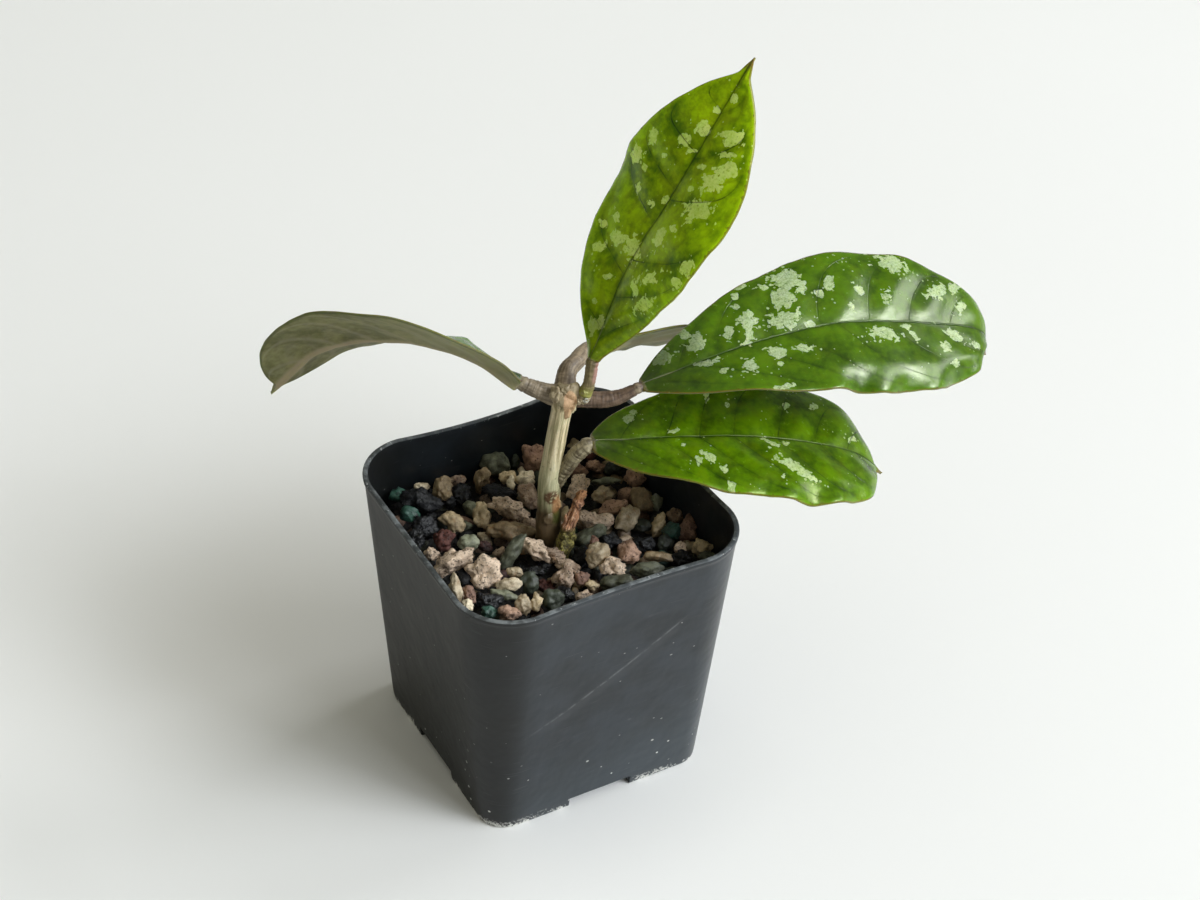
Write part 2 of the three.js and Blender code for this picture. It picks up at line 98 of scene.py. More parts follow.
# Each leaf: its petiole's route, its radii at the root, the waist and the neck and how it flares at the root,
# then the midrib's route and the blade's form. Pairs are for the blade's left and right half: hem is how far
# the edge turns down, quilt how far the blade swells between its side veins, ribs where along the midrib the
# side veins leave it, as shares, and sweep how far they run on towards the tip.
LEAVES = {
    "upright": {
        "petiole": [(6, -4.9, 107.4), (6.6, -5.1, 109.1), (7.2, -4.9, 112), (8, -4.2, 115.3)],
        "thick": (1.55, 1.4, 1.5), "flare": (0.35, 1.6), "quilt": (0.065, 0.065),
        "midrib": [(8, -4.2, 115.3), (15.5, -4, 136.5), (26.5, -6.5, 158), (34, -7, 171), (45, -6, 187.5)],
        "half_width": 19.5, "widest": 0.51, "full": 0.81, "roll": (-10, -12, -12),
        "fold": (12, 11), "curl": (-9, -11), "wave": 0.5, "waves": 7.7, "sweep": (0.05, 0.15),
        "hem": (0.3, 0.4),
        "ribs": ((0.1, 0.28, 0.46, 0.57, 0.7, 0.83), (0.065, 0.21, 0.345, 0.535, 0.68, 0.82)),
    },
    "long": {
        "petiole": [(4.8, -0.8, 103.1), (8.6, -2.8, 103), (13.6, -5.6, 103.5), (19, -8, 106.5)],
        "thick": (1.95, 2.0, 1.3), "flare": (0.35, 1.6), "quilt": (0.065, 0.02),
        "midrib": [
            (19, -8, 106.5), (37, -10, 110.5), (55.5, -12, 112.5), (73, -14, 112), (94, -17, 107),
            (110, -18, 100.5), (113.5, -18, 92),
        ],
        "half_width": 20.5, "widest": 0.58, "full": 0.45, "roll": (-13, -27, -37),
        "fold": (8, 7), "curl": (-13, 4), "wave": 0.7, "waves": 8.8, "sweep": (0.09, 0.23), "hem": (0.4, 4.3),
        "ribs": ((0.09, 0.2, 0.33, 0.455, 0.575, 0.695, 0.82), (0.13, 0.27, 0.38, 0.5, 0.64, 0.77)),
    },
    "low": {
        "petiole": [(0.4, -1.6, 78.6), (2.5, -3.2, 84.7), (4.6, -4.5, 89.2), (7.3, -5.5, 91.7)],
        "thick": (1.35, 1.85, 1.9), "flare": (0.35, 1.6), "quilt": (0.06, 0.04),
        "midrib": [
            (7.3, -5.5, 91.7), (26.5, -10.5, 90.5), (49.5, -17, 87), (71, -22, 79), (81.5, -23.5, 69.5),
        ],
        "half_width": 20, "widest": 0.6, "full": 0.38, "roll": (-13, -7, -14),
        "fold": (16, 4), "curl": (-12, -5), "wave": 0.8, "waves": 7.7, "sweep": (0.1, 0.2), "hem": (0.4, 1.8),
        "ribs": ((0.1, 0.23, 0.33, 0.44, 0.58, 0.71, 0.83), (0.09, 0.2, 0.33, 0.44, 0.58, 0.72)),
    },
    "drooping": {
        "petiole": [(1, 0, 104.8), (-1.4, 1.2, 105.6), (-3.6, 2.8, 106.5), (-6, 4.5, 107.8)],
        "thick": (2.3, 2.0, 1.7), "flare": (0.75, 3.2), "quilt": (0.05, 0.05),
        "midrib": [
            (-6, 4.5, 107.8), (-18, 13.5, 115), (-30.5, 27, 114), (-42.5, 39.5, 106), (-51.5, 47.5, 91),
        ],
        "half_width": 19.5, "widest": 0.48, "full": 0.59, "roll": (-30, -40, -44),
        "fold": (10, 9), "curl": (1, -1), "wave": 0.4, "waves": 7.7, "sweep": (0.14, 0.14), "hem": (0, 0),
        "ribs": ((0.12, 0.24, 0.38, 0.5, 0.64, 0.79), (0.07, 0.2, 0.31, 0.44, 0.57, 0.7, 0.84)),
    },
    "rear": {
        "petiole": [(3.6, 0.4, 106), (5.4, 2.8, 108.6), (9, 5, 108.8), (13, 8.5, 107.8), (17, 12, 105.5)],
        "thick": (2.2, 2.05, 1.9), "flare": (0.75, 3.2), "quilt": (0.05, 0.05),
        "midrib": [(17, 12, 105.5), (36, 14, 101.5), (57, 17.5, 93), (69, 23, 83), (77, 32, 65)],
        "half_width": 17.5, "widest": 0.54, "full": 0.75, "roll": (54, 32, 22),
        "fold": (4, 6), "curl": (-6, -6), "wave": 0.5, "waves": 7.7, "sweep": (0.14, 0.14), "hem": (0, 0),
        "ribs": ((0.1, 0.22, 0.35, 0.49, 0.62, 0.77), (0.06, 0.18, 0.3, 0.42, 0.56, 0.69, 0.82)),
    },
}
ACROSS, ALONG = 64, 190  # cells of a blade's surface
TIP_START, BODY_END, NECK_WIDTH, TIP_WIDTH, TIP_HALF = 0.12, 0.95, 0.1, 0.2, 0.35
EDGE_THICK, RIB_THICK = 0.7, 1.3
GROOVE, RIB_SPREAD = 0.35, 0.12

# Pale splashes on a blade's upper side: place along the blade as a share, place across, half length, half
# width, and the turn of the long way from the midrib towards the right half, in degrees.
SPLASHES = {
    "upright": [
        (0.65, -12.8, 1.8, 1.8, -52), (0.569, -14.9, 2.4, 1.9, 36), (0.562, -10.6, 1.3, 1.0, 46),
        (0.631, -7.3, 0.7, 0.6, -46), (0.706, -4.4, 1.9, 1.4, 58), (0.763, -2.0, 2.1, 1.6, 62),
        (0.694, -1.6, 1.2, 0.5, 57), (0.825, -1.5, 1.1, 0.7, -39), (0.881, 1.3, 1.3, 0.9, -35),
        (0.788, 6.1, 2.7, 1.7, 64), (0.744, 7.2, 2.0, 0.7, 63), (0.669, 8.6, 2.9, 1.7, 58),
        (0.713, 9.8, 3.2, 1.7, 50), (0.588, 9.5, 3.9, 2.6, 65), (0.681, 3.8, 1.1, 0.6, 67),
        (0.619, 4.6, 1.2, 0.5, 61), (0.537, -1.0, 1.2, 1.0, 57), (0.5, -3.9, 0.9, 0.9, -90),
        (0.494, -9.7, 1.2, 0.9, 61), (0.456, 5.3, 3.1, 1.5, 16), (0.506, 7.8, 1.0, 0.7, 76),
        (0.35, -6.5, 2.6, 1.5, 61), (0.363, -1.3, 2.8, 2.5, -50), (0.388, -10.4, 1.4, 1.0, 72),
        (0.344, -13.2, 1.5, 0.9, 72), (0.294, -10.1, 1.7, 1.1, 71), (0.463, 16.9, 2.2, 1.4, 21),
        (0.35, 9.1, 2.5, 1.4, 49), (0.288, 6.1, 2.1, 1.4, -38), (0.406, 16.2, 1.4, 1.2, 43),
        (0.269, 10.2, 3.4, 1.4, 35), (0.25, -3.5, 1.2, 0.6, 59), (0.163, -4.7, 1.0, 0.8, 44),
        (0.106, -2.2, 2.5, 1.8, 46), (0.219, 8.1, 0.7, 0.6, -26),
    ],
    "long": [
        (0.425, -14.3, 3.4, 3.2, -79), (0.394, -9.7, 3.8, 2.5, -65), (0.375, -3.6, 4.1, 2.4, 4),
        (0.294, -6.0, 2.5, 2.2, -69), (0.281, -1.9, 1.9, 1.2, -64), (0.244, -4.7, 1.7, 1.2, -66),
        (0.3, -13.7, 1.0, 0.9, 75), (0.288, -10.6, 0.8, 0.7, 81), (0.369, -13.9, 1.6, 1.0, 32),
        (0.45, -11.2, 2.0, 1.3, -66), (0.481, -8.5, 1.2, 1.0, -57), (0.513, -11.1, 1.9, 1.1, -67),
        (0.431, -1.0, 1.4, 1.1, 2), (0.575, -8.2, 1.4, 1.1, -35), (0.544, -3.6, 1.3, 0.7, -71),
        (0.644, -6.6, 1.8, 1.2, -57), (0.688, -16.3, 4.1, 2.6, 27), (0.794, -8.9, 3.9, 1.8, -26),
        (0.856, -10.8, 2.4, 1.3, -48), (0.856, -5.2, 2.2, 1.0, -62), (0.613, 3.6, 4.3, 1.8, 9),
        (0.694, 3.9, 1.8, 0.7, 56), (0.681, 1.5, 1.0, 0.5, -8), (0.812, 2.8, 2.7, 1.4, 36),
        (0.775, 6.6, 1.7, 1.2, -22), (0.881, 5.5, 1.9, 0.8, 3), (0.788, 11.1, 1.3, 1.0, -16),
        (0.388, 5.5, 2.5, 1.2, 9), (0.325, 4.6, 2.2, 1.7, -1), (0.319, 7.9, 0.9, 0.7, -17),
        (0.25, 6.5, 2.1, 1.6, 90), (0.188, 5.2, 1.4, 1.0, 10), (0.163, 1.1, 2.8, 0.9, 17),
        (0.163, -4.8, 2.8, 1.8, -50), (0.15, -9.3, 1.9, 1.2, -78), (0.081, -4.9, 2.6, 1.6, -44),
        (0.294, 15.1, 2.5, 0.8, 1), (0.319, -16.2, 1.7, 0.9, 0), (0.556, -16.4, 0.8, 0.5, -61),
    ],
    "low": [
        (0.138, -6.6, 2.4, 1.1, -49), (0.256, -1.8, 1.3, 0.5, -2), (0.388, -12.4, 1.7, 0.6, -75),
        (0.444, -9.8, 1.1, 0.5, -74), (0.638, -10.5, 1.8, 0.7, -69), (0.744, -12.1, 2.3, 1.0, -39),
        (0.55, 2.0, 2.1, 1.0, 33), (0.606, 1.5, 1.2, 0.6, -23), (0.344, 7.5, 2.2, 1.3, 55),
        (0.375, 11.4, 1.2, 0.9, 47), (0.388, 16.0, 1.8, 0.9, 90), (0.306, 7.9, 1.8, 0.7, 89),
        (0.6, 10.0, 5.2, 1.6, 36), (0.55, 13.4, 0.7, 0.4, -57), (0.275, 3.0, 0.6, 0.4, -65),
        (0.85, -4.1, 1.7, 0.7, -39),
    ],
}

# The stones that lie on top, by kind: middle, half length, half width, and the turn of the long way as
# the camera sees it, in degrees.
STONES = {
    "olive": [
        (2, 33, 61.5, 4, 3.1, 0), (-18.8, 5.5, 62.5, 2.8, 2.2, 0), (-10.8, -2.2, 63, 4.9, 1.8, 55),
        (-19.9, -15.7, 63, 3.6, 1.3, -15), (14.5, -23.3, 63.5, 4.1, 2.2, 0), (6.3, -23.1, 62.5, 4.1, 1.9, 8),
        (9.6, -4.2, 62, 4.4, 1.8, 25), (23.8, 13.9, 60.5, 3.8, 1.1, 5), (31.1, 0.9, 60.5, 1.8, 2.4, 0),
        (32.2, -22.5, 60.5, 2.6, 1.2, 0),
    ],
    "rose": [
        (11.8, 29.2, 61.5, 3.4, 3.7, 0), (-28.6, -13.7, 65, 1.6, 2.4, 15), (-23.2, -23.9, 65.5, 2.8, 1.8, -5),
        (-1.2, -19.5, 64, 1.9, 1.8, 0), (6.7, -10.8, 65.5, 1.2, 1.9, 10), (13.8, -16, 63.5, 2.7, 3.1, 0),
        (20.2, 3.3, 61, 3.7, 2.2, 20), (19.7, 20.9, 60.5, 2.8, 2.1, 0), (24.9, 21, 60, 2.6, 1.8, 0),
        (31.6, 12.2, 60, 2.8, 2.8, 0), (34.9, -12.2, 61, 2.4, 3.7, -25),
    ],
    "dark": [
        (7.9, 32.3, 59.5, 1.2, 1.9, 0), (-12.9, -14.9, 64, 2.2, 2.9, 10), (-11.3, -23, 64, 2.8, 2.6, 0),
        (28.6, 18.7, 59.5, 2.2, 1.8, 0), (23.5, -5.5, 60.5, 2.4, 1.8, 0), (25, -13.8, 60.5, 1.9, 2.4, 0),
        (19.9, -25.3, 62, 2.6, 1.4, 8),
    ],
    "tan": [
        (-3.8, 27.8, 61, 2.1, 3.5, -10), (-15.4, 26.9, 62, 2.5, 3.7, 10), (2.4, 25.8, 61, 2.1, 1.8, 30),
        (-10.1, 15.5, 61, 2.3, 3.3, 0), (-18.5, 14.6, 62.5, 3.6, 2.5, -30), (-7.2, 5.5, 62, 6.1, 2.7, -5),
        (-15.4, -22.6, 64.5, 1.6, 2.3, 0), (0, -22.2, 63.5, 1.7, 1.4, 0), (19.2, -20.4, 63.5, 3.5, 1.5, -8),
        (27.9, 2.2, 61.5, 3.7, 2.7, -45), (26.9, -7.7, 61, 1.9, 3.4, -15), (32.6, -19.7, 61, 2.7, 2.3, 0),
        (1.4, -27.2, 63, 2.3, 1.4, 10),
    ],
    "cream": [
        (-19.2, 30.9, 62, 2, 1.1, 0), (1.5, 22.3, 61.5, 1.2, 2.3, 0), (5.8, 22.4, 61.5, 2.7, 2.4, 0),
        (-14.6, -10.1, 64, 2.2, 1.5, -15), (-17.8, -13.7, 64, 3.1, 1.6, 5), (-30.9, -11.4, 66, 1.6, 4, 10),
        (-30.8, -17.5, 65.5, 1.4, 1.6, 0), (-18.9, -22.6, 65, 1.9, 2.5, 0), (5.6, -14.6, 65, 2.7, 3.5, -25),
        (20.8, -2.6, 62, 3.6, 2.8, 50), (20, 8.5, 61.5, 2.8, 2.3, 0),
    ],
    "teal": [
        (-25.3, 31.4, 61.5, 2.5, 1.8, 15), (-27.6, 20.4, 64, 2.4, 2.1, 0), (-27.3, -21.2, 65, 2, 1.5, 0),
        (28.4, -11.7, 61.5, 2.6, 2.4, 0),
    ],
    "coal": [
        (-22.8, 24.8, 63.5, 5.9, 3.3, -10), (-25.7, 16.1, 62.5, 3.4, 3, 0), (-2.2, 21.6, 60.5, 4.5, 2.5, -10),
        (-10.2, 25.9, 60, 2.8, 2.8, 0), (-29.8, 12.5, 62.5, 2.5, 2.6, 0), (-24.4, -15.7, 63, 4.1, 2.1, 0),
        (-6.9, -22.1, 63, 2.1, 2, 0), (-8.8, -9.8, 61.5, 2.6, 1.5, 0), (13.2, -6.9, 60.5, 3.1, 2.3, 0),
        (26.7, -20.8, 60.5, 3.3, 2.4, 0), (20.8, -11, 60, 3, 2.1, 0), (3.9, -1, 60, 2, 2.4, 0),
        (4, -9.4, 60.5, 2.7, 2.7, 0), (-14.6, 24.4, 60, 1.8, 1.8, 0),
    ],
    "pumice": [
        (2.6, 15.2, 62, 2.7, 3.7, 20), (-4.1, 13.1, 62.5, 5.3, 2.7, -20), (-1.4, 7, 61, 2, 1.8, 0),
        (-5.7, -4.9, 63.5, 4.7, 2.5, -35), (-2.8, -8.4, 63.5, 2.5, 1.8, -20),
        (-1.1, -11.8, 62, 3.5, 1.9, -25), (-26.6, -1.5, 65, 5.6, 3, 30), (-21.9, -8.3, 65, 4.5, 4.4, 0),
        (-29.9, 3.5, 65, 2.2, 1.7, -25),
        (-5.2, -17.5, 64.5, 2.9, 2.9, 0), (-4.2, -25.8, 64.5, 2.4, 1.4, 10), (7.5, -19.3, 63.5, 3.3, 2.9, 0),
        (12.6, -0.1, 62.5, 4.8, 2.4, -10), (14.9, 12, 63, 2.7, 3.6, -25), (34, -6, 60.5, 2.2, 2.2, 0),
        (27.1, -17.6, 61, 1.7, 1.9, 0),
    ],
    "lava": [(-24, 9.6, 62.5, 3.1, 2.8, 0), (-15, 4.5, 61, 1.9, 1.5, 0), (-8.6, -15.4, 61.5, 2.3, 2, 0)],
}
# How each kind of stone is shaped and how often it comes up in the rest of the bed: number of broken
# flats, height of its lumps, depth of its pits, share.
STONE_KINDS = {
    "olive": (5, 0.3, 0.06, 0.12), "rose": (3, 0.4, 0.12, 0.12), "dark": (5, 0.3, 0.08, 0.16),
    "tan": (3, 0.45, 0.1, 0.14), "cream": (2, 0.4, 0.08, 0.07), "teal": (8, 0.25, 0.1, 0.02),
    "coal": (3, 0.45, 0.35, 0.22), "pumice": (2, 0.5, 0.2, 0.13), "lava": (2, 0.5, 0.35, 0.02),
}

# Where the camera stands, in metres, and how it is turned.
VIEW_FROM = (-0.2436, -0.4329, 0.4801)
VIEW_RIGHT = Vector((0.8735, -0.4855, 0.0366))
VIEW_UP = Vector((0.2754, 0.5547, 0.7852))
VIEW_BACK = Vector((-0.4015, -0.6757, 0.6182))
LENS = 79.61

# Each light: the way it lies from the plant, then its distance, width and height in metres, its power, its
# tint, and what it is hidden from.
LIGHTS = {
    "window": ((0.5, -0.64, 0.58), 3.0, 2.6, 1.7, 60, (0.9, 0.945, 1.0), None),
    "window_middle": ((0.5, -0.64, 0.58), 2.95, 1.1, 0.8, 37, (0.9, 0.945, 1.0), None),
    "far_window": ((0.64, 0.08, 0.76), 2.4, 0.8, 0.6, 13, (0.97, 0.98, 1.0), "visible_glossy"),
    "ceiling": ((0.05, 0.1, 1), 2.0, 3.0, 3.0, 10, (1.0, 0.99, 0.84), "visible_glossy"),
    "glow_right": ((0.57, -0.513, 0.643), 2.4, 0.9, 0.7, 38, (0.96, 0.98, 1.0), "visible_diffuse"),
    "glow_far": ((0.85, -0.24, 0.47), 2.4, 1.1, 0.8, 24, (0.96, 0.98, 1.0), "visible_diffuse"),
}
FLOOR_HALF = 4000.0  # mm
LIGHTS_LOOK_AT = Vector((0, 0, 0.08))
ROOM_TINT, ROOM_GLOW = (1.0, 0.99, 0.84, 1), 0.21

# ---- colours ------------------------------------------------------------------------------------


def colour(code):
    """A colour as the eye sees it, such as 4a4f52, in the linear numbers that a shader takes."""
    parts = [int(code[i:i + 2], 16) / 255 for i in (0, 2, 4)]
    return (*[c / 12.92 if c < 0.04045 else ((c + 0.055) / 1.055) ** 2.4 for c in parts], 1)


# Each leaf's finish: its deep green, bright green and splash; where the mottle between the greens starts
# and ends; how much the veins, the olive patches and the darker stalk end, partly painted shade, show;
# the wax's strength and tint; and the stalk's darker and lighter brown.
LEAF_LOOKS = {
    "upright": {
        "greens": ("4c6e02", "a9c60a", "d4e284"), "mottle": (0.36, 0.76), "veins": 0.8, "olive": 0.4,
        "dull": 0.35, "wax": (0.26, (0.9, 1.0, 0.4, 1)), "stalk": ("5f5230", "8f8058"),
    },
    "long": {
        "greens": ("294303", "567c04", "bccaa0"), "mottle": (0.28, 0.86), "veins": 0.45, "olive": 0.15,
        "dull": 0.78, "wax": (0.42, (0.96, 1.0, 0.78, 1)), "stalk": ("43352a", "78624f"),
    },
    "low": {
        "greens": ("2a4602", "6a9402", "c8d6a2"), "mottle": (0.28, 0.86), "veins": 0.8, "olive": 0.25,
        "dull": 0.78, "wax": (0.34, (0.92, 1.0, 0.5, 1)), "stalk": ("564b35", "9f9474"),
    },
    "drooping": {
        "greens": ("34600c", "5e8f18", "aebf86"), "mottle": (0.28, 0.86), "veins": 0.4, "olive": 0.1,
        "dull": 0.78, "wax": (0.35, (0.95, 1.0, 0.7, 1)), "stalk": ("5a4f3e", "92846e"),
    },
    "rear": {
        "greens": ("34600c", "5e8f18", "aebf86"), "mottle": (0.28, 0.86), "veins": 0.4, "olive": 0.1,
        "dull": 0.78, "wax": (0.35, (0.95, 1.0, 0.7, 1)), "stalk": ("5f503d", "9c8b72"),
    },
}
STONE_LOOKS = {  # darker, lighter, pits or veins and the painted shade between stones, roughness
    "olive": ("3d4030", "90937a", "1c1e14", 0.48), "rose": ("6d4d3e", "b9957d", "38241b", 0.6),
    "dark": ("1e231b", "444b3c", "0d0f0b", 0.4), "tan": ("756246", "d0bb95", "3c2e1a", 0.48),
    "cream": ("9c8a6c", "f3e4c4", "54432c", 0.45), "teal": ("12241d", "41705f", "0c1a16", 0.34),
    "coal": ("060707", "1d1f22", "020202", 0.3), "pumice": ("836a54", "ecd3b8", "35241a", 0.6),
    "lava": ("2a1510", "5f342a", "0c0605", 0.6),
}

# ---- materials ----------------------------------------------------------------------------------


class Value:
    """One output in a material, on which plain arithmetic adds the maths."""

    def __init__(self, finish, socket):
        self.finish, self.socket = finish, socket

    def maths(self, operation, first, second=0.0):
        return self.finish.node("Math", {"operation": operation}, {0: first, 1: second})

    def __add__(self, other):
        return self.maths("ADD", self, other)

    def __sub__(self, other):
        return self.maths("SUBTRACT", self, other)

    def __rsub__(self, other):
        return self.maths("SUBTRACT", other, self)

    def __mul__(self, other):
        return self.maths("MULTIPLY", self, other)

    def __abs__(self):
        return self.maths("ABSOLUTE", self)

    __radd__, __rmul__ = __add__, __mul__


class Finish:
    """A material that is put together from nodes, with one gloss shader at its end."""

    def __init__(self, name):
        self.material = bpy.data.materials.new(name)
        self.material.use_nodes = True
        self.tree = self.material.node_tree
        self.tree.nodes.clear()

    def node(self, kind, settings=None, inputs=None, output=0):
        """Adds a node: its settings come first, then the values or links of its sockets."""
        new = self.tree.nodes.new("ShaderNode" + kind)
        for name, setting in (settings or {}).items():
            setattr(new, name, setting)
        for name, value in (inputs or {}).items():
            if isinstance(value, Value):
                self.tree.links.new(value.socket, new.inputs[name])
            else:
                new.inputs[name].default_value = value
        return Value(self, new.outputs[output]) if new.outputs else None

    def place(self):
        """Where a point lies on the piece, in mm."""
        metres = self.node("TexCoord", output="Object")
        return self.node("VectorMath", {"operation": "SCALE"}, {0: metres, "Scale": 1 / MM})

    def mark(self, name):
        """A number that the piece's mesh carries."""
        return self.node("Attribute", {"attribute_name": name}, output="Fac")

    def marks(self, name):
        """A vector that the piece's mesh carries."""
        return self.node("Attribute", {"attribute_name": name}, output="Vector")

    def stretch(self, where, scale):
        return self.node("Mapping", inputs={"Vector": where, "Scale": scale})

    def cloud(self, where, size, detail=3.0, rough=0.55, warp=0.0):
        """Soft uneven patches, of about that size in mm, from 0 to 1."""
        return self.node("TexNoise", inputs={
            "Vector": where, "Scale": 1 / size, "Detail": detail, "Roughness": rough, "Distortion": warp,
        })

    def cells(self, where, size):
        """How far it is to the middle of the nearest of many cells, of about that size in mm."""
        return self.node("TexVoronoi", inputs={"Vector": where, "Scale": 1 / size}, output="Distance")

    def between(self, value, low, high):
        """0 below low and 1 above high, with a soft step between."""
        sockets = {"Value": value, "From Min": low, "From Max": high}
        return self.node("MapRange", {"interpolation_type": "SMOOTHSTEP"}, sockets)

    def below(self, value, low, high):
        """1 below low and 0 above high."""
        return 1 - self.between(value, low, high)

    def blend(self, under, over, amount):
        """A colour that goes from under to over, each a code or a colour, as amount goes from 0 to 1."""
        under, over = (colour(shade) if isinstance(shade, str) else shade for shade in (under, over))
        return self.node("Mix", {"data_type": "RGBA"}, {0: amount, 6: under, 7: over}, 2)

    def coats(self, base, *coats):
        """Lays colours over a base one by one, each by its own amount."""
        for shade, amount in coats:
            base = self.blend(base, shade, amount)
        return base

    def near(self, where, middle, inner, outer):
        """1 within inner mm of a point, and 0 beyond outer."""
        away = self.node("VectorMath", {"operation": "DISTANCE"}, {0: where, 1: middle}, "Value")
        return self.below(away, inner, outer)

    def relief(self, height, depth):
        """A surface direction that makes height stand up by depth, in mm."""
        return self.node("Bump", inputs={"Height": height, "Distance": depth * MM, "Strength": 1.0})

    def gloss(self, **sockets):
        """The shader itself. Words with a low line stand for the sockets with a space."""
        named = {name.replace("_", " "): value for name, value in sockets.items()}
        self.node("OutputMaterial", inputs={"Surface": self.node("BsdfPrincipled", inputs=named)})
        return self.material

    def split(self, where):
        """The three numbers of a vector."""
        parts = self.node("SeparateXYZ", inputs={0: where}).socket.node
        return [Value(self, parts.outputs[i]) for i in range(3)]

    def larger(self, first, second):
        return first.maths("MAXIMUM", first, second)


def moulded_plastic():
    """Near-black plastic: a satin skin with hairline scratches, lime dried on along the foot, painted shade
    on the left wall, a painted sheen low on the front and a painted highlight line along the lip.
    """
    f = Finish("pot_plastic")
    where = f.place()
    x, y, z = f.split(where)
    haze = f.cloud(where, 16, 4, 0.6)
    grain = f.cloud(f.stretch(where, (1, 1, 0.12)), 0.8, 4, 0.6)
    front, left_wall_painted_shade = f.between(0 - y, 28, 31), f.between(0 - x, 17, 29)
    # one long curved scratch climbs the front wall, with a wider scuff beside it and hairlines all over
    line = z - (x + 21.7) * 0.573 - 31.7 - (x + 2) * (x + 2) * 0.0035
    ragged = f.cloud(where, 5, 3) * 0.8 - 0.4
    reach = f.between(x, -26, -12) * f.below(x, 15, 20)
    scratch = f.below(abs(line + ragged * 0.25), 0.05, 0.6) * front * reach
    wide = f.below(abs(line + 1.2 + ragged), 0.3, 3.0) * front * reach
    hairs = f.cloud(f.stretch(where, (0.06, 0.06, 1.3)), 0.9, 2, 0.4, 0.6)
    hairs = f.between(hairs, 0.66, 0.7) * f.between(f.cloud(where, 9), 0.45, 0.6)
    worn = scratch * f.between(f.cloud(where, 2.2, 4), 0.36, 0.6)
    # lime: a patchy crust on the foot, dots on the lower walls and faint flecks above
    low = f.below(z, 0.3, 3.4)
    patchy = f.between(f.cloud(where, 10, 2), 0.46, 0.58)
    crust = f.between(f.cloud(where, 0.8, 5, 0.75) + low * 0.13 + patchy * 0.12, 0.7, 0.74) * low
    dots = f.cells(f.stretch(where, (0.8, 0.8, 1)), 3.4) + f.cloud(where, 6) * 0.3
    dots = f.below(dots, 0.21, 0.235) * f.below(z, 6, 28)
    flecks = f.cells(f.stretch(where, (1, 1, 1.6)), 5.2) + f.cloud(where, 11) * 0.1
    lime = f.larger(f.larger(crust, dots), f.below(flecks, 0.09, 0.105) * 0.35)
    painted_rim_highlight = f.between(z, POT_HEIGHT - 0.3, POT_HEIGHT - 0.05)
    nicks = f.between(f.cloud(where, 1.1, 4, 0.7), 0.62, 0.67)
    nicks = nicks * f.between(z, POT_HEIGHT - 0.9, POT_HEIGHT - 0.2)
    base = f.coats(
        f.blend("1b2024", "272d33", f.between(haze, 0.35, 0.65)),
        # painted sheen: the front wall lighter towards its lower right
        ("3d454b", front * f.below(z - x * 0.25, 0, 30) * 0.6),
        # painted shade: the left wall and the front-left corner made darker
        ("0b0c09", left_wall_painted_shade * 0.85),
        ("6d6f70", worn * 0.5 + wide * 0.09 + hairs * 0.1),
        # painted highlight: a pale line along the top of the lip
        ("9aa0a2", painted_rim_highlight * (f.between(f.cloud(where, 3, 4), 0.42, 0.66) + 0.35) * 0.4),
        ("c6caca", nicks * 0.7),
        ("dcdcd6", lime),
    )
    rough = 0.27 + haze * 0.14 + lime * 0.35 + worn * 0.15 + left_wall_painted_shade * 0.15
    bump = f.relief(grain * 0.2 + f.cloud(where, 7, 2) * 5 + lime * 0.6 - hairs * 0.15, 0.05)
    return f.gloss(Base_Color=base, Roughness=rough, Normal=bump, Specular_IOR_Level=0.4)


def stone_finish(kind):
    """Weathered stone: tones that differ from stone to stone and over it, with its kind's pits or seams, and
    painted shade low down.
    """
    f = Finish("stone_" + kind)
    dark, light, deep, dullness = STONE_LOOKS[kind]
    where = f.place()
    patches, fine = f.cloud(where, 2.2, 5, 0.7), f.cloud(where, 0.45, 4, 0.7)
    base = f.coats(
        f.blend(dark, light, f.between(f.mark("tone") * 0.55 + patches * 1.3, 0.55, 1.15)),
        (deep, f.between(f.cloud(where, 1.1, 5, 0.75), 0.5, 0.66) * 0.6),
        (deep, f.between(f.cloud(where, 3.2, 3), 0.5, 0.66) * 0.4),
        (light, f.between(fine, 0.58, 0.74) * 0.45),
        # painted shade: darker low down, where the stones sink between one another
        (deep, f.below(f.split(where)[2] + patches * 2, 58.5, 62.5) * 0.75),
    )
    if kind in ("pumice", "tan", "cream"):
        base = f.blend(base, "9a6a38", f.between(f.cloud(where, 1.8, 4, 0.6, 0.8), 0.58, 0.7) * 0.5)
    if kind in ("pumice", "lava", "coal", "rose"):
        pores = f.below(f.cells(where, 0.8) + f.cloud(where, 1.5, 3) * 0.55, 0.42, 0.6)
        base = f.blend(base, deep, pores * 0.55)
        bump = f.relief(fine * 0.8 - pores * 1.1 + patches, 0.3)
    else:
        seams = f.between(f.cloud(f.stretch(where, (1, 1.6, 0.6)), 1.4, 4, 0.7, 1.2), 0.58, 0.66)
        base = f.blend(base, light if kind in ("dark", "teal") else deep, seams * 0.35)
        bump = f.relief(fine * 0.8 + patches * 0.9, 0.22)
    return f.gloss(Base_Color=base, Roughness=dullness + fine * 0.2, Normal=bump, Specular_IOR_Level=0.5)


def near_black_grit():
    """The dark fine grit between the stones."""
    f = Finish("near_black_grit")
    where = f.place()
    crumbs = f.cells(where, 1.3)
    base = f.blend("060505", "1d1712", f.between(f.cloud(where, 1.4, 4), 0.4, 0.7))
    return f.gloss(Base_Color=base, Roughness=0.75 + f.cloud(where, 2) * 0.1, Normal=f.relief(crumbs, 0.5))


